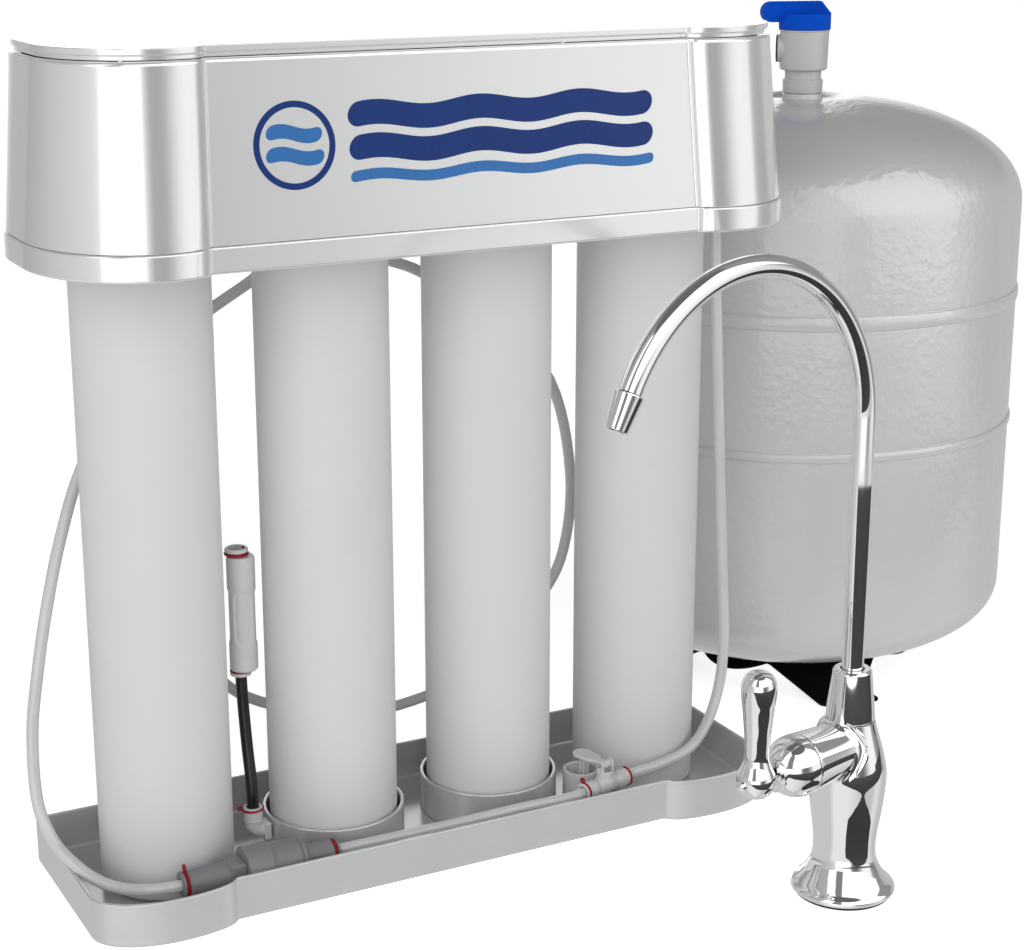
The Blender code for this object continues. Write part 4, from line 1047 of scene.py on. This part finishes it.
def rib(z, half):
    """Raised band round the tank wall with a faint hollow above and below."""
    return ([(TANK_R, z - half - 1.6), (TANK_R - 0.28, z - half - 0.7)]
            + [(TANK_R - 0.1 + 1.3 * math.sin(a) ** 0.7, z - half * math.cos(a))
               for a in (math.pi * k / 10 for k in range(11))]
            + [(TANK_R - 0.28, z + half + 0.7), (TANK_R, z + half + 1.6)])


def wall_rows(*heights):
    return [(TANK_R, z) for z in heights]


LOW_DOME_Z, LOW_POWER, TOP_POWER = 62.7, 2.3, 2.13
INNER_R = TANK_R - 2
TANK_NECK = [
    (23.5, 350.75, 3.0), (18.0, 348.5, 3.0), (12.1, 347.9, 2.4), (11.7, 352.35, 0.5),
    (6.0, 352.35, 0.3), (6.0, 346.0)]
profile = [(r, LOW_DOME_Z - h) for r, h in squircle(TANK_R, 46.5, LOW_POWER, 30)]
profile += wall_rows(85, 105, 125, 145) + rib(162.9, 2.6)
profile += wall_rows(180, 200, 220) + rib(239.3, 4.0) + wall_rows(262, 278)
profile += [(r, 291.4 + h) for r, h in reversed(squircle(TANK_R, 61.3, TOP_POWER, 30))
            if r > 25.0]
profile += fillet(TANK_NECK, steps=7)
profile += [(r, 290.0 + h) for r, h in squircle(INNER_R, 54.5, TOP_POWER, 8)[1:]]
profile += [(r, LOW_DOME_Z - h) for r, h in reversed(squircle(INNER_R, 44.5, LOW_POWER, 8))]
stand_in("tank_shell", turned(profile, 176, TANK), "tank_enamel", sharp=50)

# =============================================================== tank stand
# a shallow skirt with four feet and straight cut-aways between them
FOOT_R, FOOT_HALF = 97.0, 7.0              # foot radius and half width in degrees
CORNER_R, CORNER_Z, CORNER_ANGLE = 74.5, 18.4, 28.0


def stand_edge(degrees):
    """Outer radius and height of the lower edge, so many degrees past a foot."""
    off = abs((degrees + 45.0) % 90.0 - 45.0)
    if off <= FOOT_HALF:
        return FOOT_R, 0.0
    if off >= CORNER_ANGLE:                # shallow lobe between two feet
        lobe = math.sin(math.pi / 2 * (off - CORNER_ANGLE) / (45.0 - CORNER_ANGLE))
        return CORNER_R + 8.5 * lobe, CORNER_Z - 3.4 * lobe
    # straight cut from the foot's corner to the lobe's corner
    foot_x = FOOT_R * math.cos(math.radians(FOOT_HALF))
    foot_y = FOOT_R * math.sin(math.radians(FOOT_HALF))
    run_x = CORNER_R * math.cos(math.radians(CORNER_ANGLE)) - foot_x
    run_y = CORNER_R * math.sin(math.radians(CORNER_ANGLE)) - foot_y
    x, y = math.cos(math.radians(off)), math.sin(math.radians(off))
    t = -(foot_x * y - foot_y * x) / (run_x * y - run_y * x)
    t = min(1.0, max(0.0, t))
    return math.hypot(foot_x + run_x * t, foot_y + run_y * t), CORNER_Z * t


rings = []
for k in range(240):
    edge_r, lift = stand_edge(1.5 * k)
    a = math.radians(256.5 + 1.5 * k)
    inner_r = edge_r - (11.0 - lift * 0.40)
    section = [                            # (radius, height)
        (62.0, 18.4), (62.4, 18.9), (72.0, 20.6), (72.6, 20.5), (edge_r - 0.9, lift + 2.0),
        (edge_r - 0.2, lift + 1.4), (edge_r, lift + 0.5), (edge_r - 0.4, lift),
        (inner_r + 0.6, lift), (inner_r, lift + 0.4)]
    rings.append([(TANK.x + r * math.cos(a), TANK.y + r * math.sin(a), z) for r, z in section])
peg = turned(fillet([(0, 104.0), (1.6, 103.9, 0.9), (1.9, 92.0), (0, 92.0)], steps=4), 32,
             TANK + UP * 3.9, heading(math.radians(268.0)))
stand_in("tank_stand", loft(rings, closed=True), "black_plastic", sharp=40, join=[peg])

_, low, high = extent("tank_air_valve")
profile = fillet([(0, low.z), (2.6, low.z, 0.4), (3.2, low.z + 1.2, 0.3), (3.2, 13.0, 0.4),
                  (7.0, 13.5, 0.4), (7.0, high.z), (0, high.z)], steps=3)
stand_in("tank_air_valve", turned(profile, 48, TANK), "black_plastic")

# =============================================================== tank valve
VALVE_PROFILE = [
    (4.0, 352.6), (11.4, 352.6, 0.4), (11.7, 353.2, 0.3), (11.9, 360.2, 0.6), (11.0, 360.9, 0.2),
    (10.7, 361.0, 0.2), (10.8, 365.4, 0.3), (12.6, 365.8, 0.4), (14.0, 366.4, 1.3),
    (14.1, 368.4, 0.3), (14.5, 388.0, 0.3), (14.3, 388.6, 0.2), (8.6, 388.6), (8.6, 369.5),
    (4.0, 369.5)]
PORT_PROFILE = [
    (0, 13.9), (5.6, 13.9, 0.2), (5.8, 16.2, 0.2), (7.4, 16.4, 0.4), (8.1, 15.9, 0.4),
    (8.1, 8.8), (0, 8.8)]
PORT_CENTER = TANK + UP * 378.2
PORT_AIM = heading(math.radians(147.0))
port = turned(fillet(PORT_PROFILE, steps=3), 72, PORT_CENTER, PORT_AIM)
valve = stand_in("tank_valve_body",
                 turned(fillet(VALVE_PROFILE, loop=True, steps=4), 120, TANK, loop=True),
                 "valve_body_grey", slot="fitting_white", join=[port])


# colours the rim of the port's end face dark with the rubber material
def on_port_rim(point):
    offset = point - PORT_CENTER
    out = offset.dot(PORT_AIM)
    return out > 15.2 and 5.4 < (offset - PORT_AIM * out).length < 8.5


paint_faces(valve, "rubber", on_port_rim)
profile = fillet([(13.2, 388.65, 0.1), (15.05, 388.65, 0.2), (15.05, 389.15, 0.2),
                  (13.2, 389.15, 0.1)], loop=True, steps=3)
piece("visual_tank_valve_seal", turned(profile, 96, TANK, loop=True), "seal_pale",
      slot="fitting_white")

# =============================================================== tank lever
# round cap and an upright blade, its two faces recessed inside a raised border
LEVER_AIM = heading(math.radians(165.0))
LEVER_Z = 399.6                # middle height of the blade
NOSE = 21.3                    # where the blade's round nose is centred


def blade_nose(radius):
    return [(NOSE + radius * math.sin(t), LEVER_Z + radius * math.cos(t))
            for t in (math.pi * k / 28 for k in range(1, 28))]


cap = turned(fillet([(0, 389.25), (15.0, 389.25, 0.3), (15.25, 390.2, 0.3), (15.2, 398.9, 1.3),
                     (0, 399.0)], steps=5), 112, TANK)
blade_outline = [(-15.6, LEVER_Z - 1.4), (-9.6, LEVER_Z + 5.6), (-8.9, LEVER_Z + 5.9),
                 (NOSE, LEVER_Z + 5.9)] + blade_nose(5.95)
blade_outline += [(NOSE, LEVER_Z - 5.95), (13.0, LEVER_Z - 5.95), (-12.0, LEVER_Z - 3.6)]
recess_outline = [(-11.4, LEVER_Z + 0.2), (-8.6, LEVER_Z + 4.95), (NOSE, LEVER_Z + 4.95)]
recess_outline += blade_nose(4.95)
recess_outline += [(NOSE, LEVER_Z - 4.95), (15.9, LEVER_Z - 4.95), (15.9, LEVER_Z + 0.2)]
blade = upright_plate(blade_outline, ((-2.6, 0.22), (-2.4, 0.0), (2.4, 0.0), (2.6, 0.22)),
                      TANK, LEVER_AIM)
cuts = [upright_plate(recess_outline, stations, TANK, LEVER_AIM)
        for stations in (((-4.0, -0.2), (-2.2, 0.1)), ((2.2, 0.1), (4.0, -0.2)))]
for sign in (-1, 1):                       # a small round dimple in each face
    cuts.append(turned([(0, 1.9), (0.7, 1.9), (0.7, 3.5), (0, 3.5)], 20,
                       TANK + UP * (LEVER_Z + 2.4) + LEVER_AIM * 13.5, across(LEVER_AIM) * sign))
stand_in("tank_valve_lever", cap, "lever_blue", body="tank_lever", join=[blade], cut=cuts)

# ============================================================== faucet body
profile = fillet([(10, 0.0, 0.2), (23.5, 0.0, 0.3), (23.5, 1.2, 0.3), (10, 1.2, 0.2)],
                 loop=True, steps=3)
stand_in("faucet_gasket", turned(profile, 96, FAUCET, loop=True), "rubber")

FOOT_FLANGE = [(24.0, 1.5), (24.9, 1.9), (25.2, 3.0), (25.0, 4.0), (24.2, 5.0)]
BODY_SIDE = flow([
    (24.2, 5.0), (22.2, 6.7), (20.3, 9.0), (18.4, 11.7), (17.0, 14.5), (15.85, 17.2),
    (15.3, 20.0), (15.0, 25.0), (15.6, 32.5), (16.9, 41.5), (17.9, 49.6), (18.6, 60.0),
    (18.3, 65.5), (17.4, 70.0), (16.3, 74.6), (14.9, 79.3), (13.3, 84.5), (12.0, 89.4)], 4)
STUB_R = 13.5                  # side arm where it has left the body
FLARE = 3.4                    # size of the soft fillet between arm and body
SEAM = 35.6                    # end of the stub along the arm


def body_radius(z):
    for (r0, z0), (r1, z1) in zip(BODY_SIDE, BODY_SIDE[1:]):
        if z0 <= z <= z1:
            return r0 + (r1 - r0) * (z - z0) / max(1e-6, z1 - z0)
    return 12.0


def arm_line(angle):
    """Points of the stub from inside the body to the seam, at one angle round the arm."""
    x, z = math.cos(angle), math.sin(angle)
    radius = body_radius(ARM_Z + 13.6 * z)
    exit_at = math.sqrt(max(1.0, radius * radius - (13.6 * x) ** 2))
    stations = [(4.0, STUB_R + FLARE * 0.6)]       # (distance along the arm, radius)
    for u in (k / 11.0 for k in range(12)):
        stations.append((exit_at - 1.2 + (FLARE + 1.2) * u,
                         STUB_R + FLARE * (1 - math.sqrt(max(0.0, 1 - (1 - u) ** 2)))))
    start = exit_at + FLARE
    for u in (k / 10.0 for k in range(1, 11)):
        stations.append((start + (SEAM - 0.5 - start) * u, STUB_R + 1.35 * u ** 1.3))
    stations += [(SEAM - 0.15, 14.8), (SEAM + 0.05, 14.6), (SEAM + 0.1, 14.0)]
    return [ARM_BASE + ARM * s + across(ARM) * (r * x) + UP * (r * z) for s, r in stations]


ARM_BASE = FAUCET + UP * ARM_Z
stub = loft(zip(*[arm_line(2 * math.pi * k / 96) for k in range(96)]))
profile = [(0, 70.0), (9.0, 70.0), (9.0, 1.5)] + flow(FOOT_FLANGE, 3)[:-1] + BODY_SIDE
profile += [(11.6, 89.7), (0, 89.7)]
stand_in("faucet_body", turned(profile, 160, FAUCET), "chrome", join=[stub], sharp=38)

# =================================================== faucet bonnet and handle
BONNET_SIDE = [
    (14.35, 35.9), (14.75, 36.15), (14.85, 37.0), (14.75, 39.0), (14.35, 41.5), (13.5, 44.0),
    (12.2, 46.5), (10.5, 48.7), (8.9, 50.3), (7.2, 51.6)]
BONNET_END = [
    (7.2, 51.6), (7.0, 52.2, 0.2), (8.5, 53.0, 0.3), (8.5, 54.5, 0.4), (6.4, 55.0, 0.3),
    (0, 55.2)]
HANDLE_SIDE = [
    (0.6, 68.02), (2.8, 68.25), (5.0, 69.0), (6.9, 70.5), (8.2, 72.4), (9.0, 74.4), (9.2, 76.5),
    (9.0, 78.7), (8.2, 81.0), (7.1, 83.3), (6.3, 85.5), (5.8, 87.7), (5.7, 90.0), (5.9, 95.0),
    (6.2, 100.0), (6.8, 106.0), (7.4, 112.0), (7.95, 116.0), (8.2, 119.5), (8.15, 122.5),
    (7.7, 125.0), (6.7, 127.2), (5.2, 128.7), (2.8, 129.9), (0.6, 130.2)]
profile = [(0, 35.8), (13.6, 35.8)] + flow(BONNET_SIDE) + fillet(BONNET_END, steps=3)[1:]
stand_in("faucet_bonnet", turned(profile, 128, ARM_BASE, ARM), "chrome", sharp=38)

profile = fillet([(5.7, 90.0), (11.5, 90.0, 0.3), (11.85, 90.6, 0.3), (11.3, 96.5),
                  (10.4, 104.0), (9.3, 114.2, 0.9), (8.2, 115.3, 0.4), (5.7, 115.3, 0.3)],
                 loop=True, steps=4)
stand_in("spout_collar", turned(profile, 128, FAUCET, loop=True), "chrome")

profile = [(0, 68.0)] + flow(HANDLE_SIDE, 4) + [(0, 130.2)]
stand_in("faucet_handle", turned(profile, 112, FAUCET + ARM * 65.0), "chrome", body="handle",
         sharp=50)
profile = fillet([(0, 74.0), (2.6, 74.0), (2.7, 74.7, 0.3), (2.2, 75.8, 0.6), (0.9, 76.5, 0.5),
                  (0, 76.6)], steps=4)
stand_in("handle_screw", turned(profile, 48, ARM_BASE, ARM), "chrome", body="handle")

# ============================================================= faucet spout
# straight rise, then an arch over towards the arm's side
SPOUT_SWEEP = math.radians(153.4)
ARCH_R = 79.0
RISE_START, RISE_END = 92.0, 237.5
path = [FAUCET + UP * (RISE_START + (RISE_END - RISE_START) * k / 12) for k in range(13)]
for k in range(1, 73):
    a = SPOUT_SWEEP * k / 72
    path.append(FAUCET + ARM * (ARCH_R * (1 - math.cos(a)))
                + UP * (RISE_END + ARCH_R * math.sin(a)))
stand_in("faucet_spout", swept(path, 5.2, 4.0, 56), "chrome", body="spout", sharp=50,
         weighted=False)
spout_aim = ARM * math.sin(SPOUT_SWEEP) + UP * math.cos(SPOUT_SWEEP)
profile = fillet([(4.0, 0.35), (6.35, 0.35, 0.3), (6.5, 1.0, 0.3), (5.0, 16.4, 0.35),
                  (4.1, 16.4, 0.3)], loop=True, steps=4)
stand_in("spout_tip", turned(profile, 96, path[-1], spout_aim, loop=True), "chrome",
         body="spout")

# ================================================= frame pieces kept as they are
KEPT = [("cartridge_socket_%d" % i, "fitting_white") for i in range(1, 5)] + [
    ("sediment_core", "fibre"), ("carbon_block_core", "carbon"), ("membrane_element", "fibre"),
    ("post_carbon_core", "carbon"), ("manifold_plate", "fitting_white"),
    ("shutoff_valve", "fitting_white"), ("tank_diaphragm", "rubber"),
    ("tank_valve_ball", "chrome")]
for node, material in KEPT:
    ob = frame["nodes"][node]
    for material_slot in ob.material_slots:
        material_slot.link = 'OBJECT'
        material_slot.material = MATERIALS[material]
    if not ob.material_slots:
        ob.data.materials.append(MATERIALS[material])

# ============================================================= studio floor
solid = bmesh.new()
bmesh.ops.create_grid(solid, x_segments=8, y_segments=8, size=40.0)
floor = new_object("studio_floor", solid)
floor.location = (0, 0, -0.0002)
material = bpy.data.materials.new("floor_white")
net = Net(material)
inputs = net.tree.nodes["Principled BSDF"].inputs
tone = net.noise(net.node("ShaderNodeTexCoord").outputs["Object"], 3.0, 3.0)
net.link(net.mix(tone, (0.90, 0.90, 0.90), (0.93, 0.93, 0.93)), inputs["Base Color"])
inputs["Roughness"].default_value = 0.8
inputs["Specular IOR Level"].default_value = 0.1
inputs["Emission Color"].default_value = (1, 1, 1, 1)
# a faint glow everywhere, stronger where the camera sees the floor
camera_ray = net.node("ShaderNodeLightPath").outputs["Is Camera Ray"]
net.link(net.math("ADD", net.math("MULTIPLY", camera_ray, 0.50), 0.25),
         inputs["Emission Strength"])
floor.data.materials.append(material)
floor.visible_glossy = False

# ================================================================ dark card
# fan on the floor in front of the faucet, seen only in reflections
CARD_ROWS = [                  # (radius in metres, half angle in degrees)
    (0.045, 46), (0.07, 40), (0.09, 22), (0.105, 8), (0.115, 4), (0.125, 8), (0.145, 24),
    (0.18, 44), (0.25, 62), (0.42, 74), (0.72, 80)]
solid = bmesh.new()
rows = []
for radius, half in CARD_ROWS:
    angles = [math.radians(-80 - half + 2 * half * j / 24) for j in range(25)]
    rows.append([solid.verts.new((FAUCET.x * MM + radius * math.cos(a),
                                  FAUCET.y * MM + radius * math.sin(a), 0.0)) for a in angles])
for first, second in zip(rows, rows[1:]):
    skin(solid, first, second, ring=False)
card = new_object("studio_card", solid)
card.location = (0, 0, 0.0004)
material = bpy.data.materials.new("card_dark")
inputs = Net(material).tree.nodes["Principled BSDF"].inputs
inputs["Base Color"].default_value = (0.05, 0.055, 0.058, 1)
inputs["Roughness"].default_value = 0.9
card.data.materials.append(material)
card.visible_camera = False
card.visible_diffuse = False
card.visible_shadow = False
card.visible_transmission = False

# ==================================================================== world
# Tables are (azimuth in degrees from +X, brightness).
HORIZON = [
    (-180, 0.56), (-164, 0.64), (-155, 0.78), (-151, 1.0), (-104, 1.0), (-98, 0.50),
    (-93, 0.18), (-79, 0.18), (-73, 0.32), (-67, 0.55), (-60, 0.85), (-52, 1.0), (-32, 1.0),
    (-25, 0.42), (-18, 0.28), (-4, 0.28), (6, 0.50), (44, 0.56), (52, 1.0), (84, 1.0),
    (96, 0.6), (110, 0.30), (132, 0.34), (152, 0.44), (180, 0.56)]
HORIZON_BOOST = [              # where the horizon is raised to 1.6 times
    (-154, 0.0), (-150, 1.0), (-106, 1.0), (-101, 0.0), (50, 0.0), (55, 1.0), (80, 1.0),
    (88, 0.0)]
PANELS = [                     # tall softboxes above the horizon
    (-180, 0.30), (-174, 0.30), (-171, 1.0), (-150, 1.0), (-147, 0.16), (-128, 0.16),
    (-125, 1.0), (-20, 1.0), (-16, 0.20), (50, 0.20), (53, 1.0), (82, 1.0), (86, 0.20),
    (180, 0.30)]
BELOW = [
    (-180, 0.62), (-165, 0.85), (-125, 0.85), (-100, 0.75), (-76, 0.56), (-46, 0.56),
    (-25, 0.80), (0, 0.55), (90, 0.60), (180, 0.60)]
SOFT_AZIMUTH = math.radians(-122.0)        # where the diffuse light comes from

world = bpy.data.worlds.new("studio")
bpy.context.scene.world = world
net = Net(world)
background = net.tree.nodes["Background"]
split = net.node("ShaderNodeSeparateXYZ",
                 {0: net.node("ShaderNodeTexCoord").outputs["Generated"]})
x, y, z = split.outputs
azimuth = net.math("ARCTAN2", y, x)
azimuth = net.math("ADD", net.math("DIVIDE", azimuth, 2 * math.pi), 0.5)
elevation = net.math("MULTIPLY", net.math("ARCSINE", z), 180 / math.pi)


def around(table):
    """Brightness by azimuth."""
    return net.ramp(azimuth, [((degrees + 180.0) / 360.0, value) for degrees, value in table])


def above(start, end):
    """Soft mask that rises between two elevations in degrees."""
    return net.span(elevation, (start, end), smooth=True)


# what reflections see
horizon = around(HORIZON)
boost = net.mix(around(HORIZON_BOOST), (1, 1, 1), (1.6, 1.6, 1.6))
horizon = net.mix(1.0, horizon, boost, "MULTIPLY")
panels = net.mix(1.0, around(PANELS), (1.5, 1.5, 1.5), "MULTIPLY")
high_back = net.math("MULTIPLY", net.span(y, (0.25, 0.40), smooth=True), above(28.0, 33.0))
shine = net.mix(above(-17.0, -13.0), around(BELOW), horizon)
shine = net.mix(above(11.0, 14.0), shine, panels)
shine = net.mix(high_back, shine, (0.22, 0.22, 0.22))
shine = net.mix(above(60.0, 66.0), shine, (0.14, 0.14, 0.14))

# what lights the matt surfaces: brighter from the front and from low down
toward = net.math("ADD", net.math("MULTIPLY", x, math.cos(SOFT_AZIMUTH)),
                  net.math("MULTIPLY", y, math.sin(SOFT_AZIMUTH)))
front_soft = net.span(toward, (-0.45, 0.35), (0.10, 1.0), smooth=True)
high_soft = net.span(elevation, (18.0, 62.0), (1.05, 0.22), smooth=True)
soft = net.math("MULTIPLY", net.math("MULTIPLY", front_soft, high_soft), 1.05)
soft = net.mix(1.0, soft, (1.0, 1.0, 1.0), "MULTIPLY")

rays = net.node("ShaderNodeLightPath").outputs
seen = net.mix(rays["Is Glossy Ray"], soft, shine)
seen = net.mix(rays["Is Camera Ray"], seen, (1.0, 1.0, 1.0))
net.link(seen, background.inputs["Color"])
background.inputs["Strength"].default_value = 1.0


# =================================================================== lights
def area_light(name, azimuth, elevation, distance, width, power, height=None,
               target=(0.05, 0.0, 0.18)):
    """Area light aimed at target; angles in degrees, power in watts, square if no height."""
    light = bpy.data.lights.new(name, 'AREA')
    light.shape = 'RECTANGLE' if height else 'SQUARE'
    light.size = width
    if height:
        light.size_y = height
    light.energy = power
    ob = bpy.data.objects.new(name, light)
    bpy.context.scene.collection.objects.link(ob)
    a, e = math.radians(azimuth), math.radians(elevation)
    direction = Vector((math.cos(a) * math.cos(e), math.sin(a) * math.cos(e), math.sin(e)))
    ob.location = Vector(target) + direction * distance
    ob.rotation_euler = (-direction).to_track_quat('-Z', 'Y').to_euler()
    ob.visible_glossy = False
    ob.visible_camera = False
    return ob


area_light("key_softbox", azimuth=-128, elevation=30, distance=2.4, width=1.6, power=9.0)
area_light("fill_softbox", azimuth=-40, elevation=26, distance=2.6, width=1.6, power=3.0)

# upright strips that only glint on the tank and its valve
STRIP_HEIGHT = 1.7
STRIP_RADIANCE = 1.45          # brightness of the strips' faces
receivers = bpy.data.collections.new("tank_strips")
for name in ("visual_tank_shell", "visual_tank_valve_body"):
    receivers.objects.link(bpy.data.objects[name])
for name, azimuth, width in (("strip_softbox_right", -66.0, 1.15),
                             ("strip_softbox_left", -159.0, 0.34)):
    strip = area_light(name, azimuth, elevation=26.0, distance=1.10, width=width,
                       power=STRIP_RADIANCE * math.pi * width * STRIP_HEIGHT,
                       height=STRIP_HEIGHT, target=(TANK.x * MM, TANK.y * MM, 0.30))
    strip.visible_glossy = True
    strip.visible_diffuse = False
    strip.light_linking.receiver_collection = receivers

# =================================================================== camera
camera = bpy.data.cameras.new("camera")
camera.lens = 73.28
camera.sensor_width = 36.0
camera.sensor_fit = 'HORIZONTAL'
camera.clip_start = 0.05
camera.clip_end = 100.0
camera_object = bpy.data.objects.new("camera", camera)
bpy.context.scene.collection.objects.link(camera_object)
camera_object.location = (-0.41923, -0.90805, 0.47490)
camera_object.rotation_euler = (math.radians(90 - 15.986), 0.0, math.radians(-27.761))

scene = bpy.context.scene
scene.camera = camera_object
scene.view_settings.view_transform = 'Standard'
scene.view_settings.look = 'None'
scene.view_settings.exposure = 0.0
scene.view_settings.gamma = 1.0
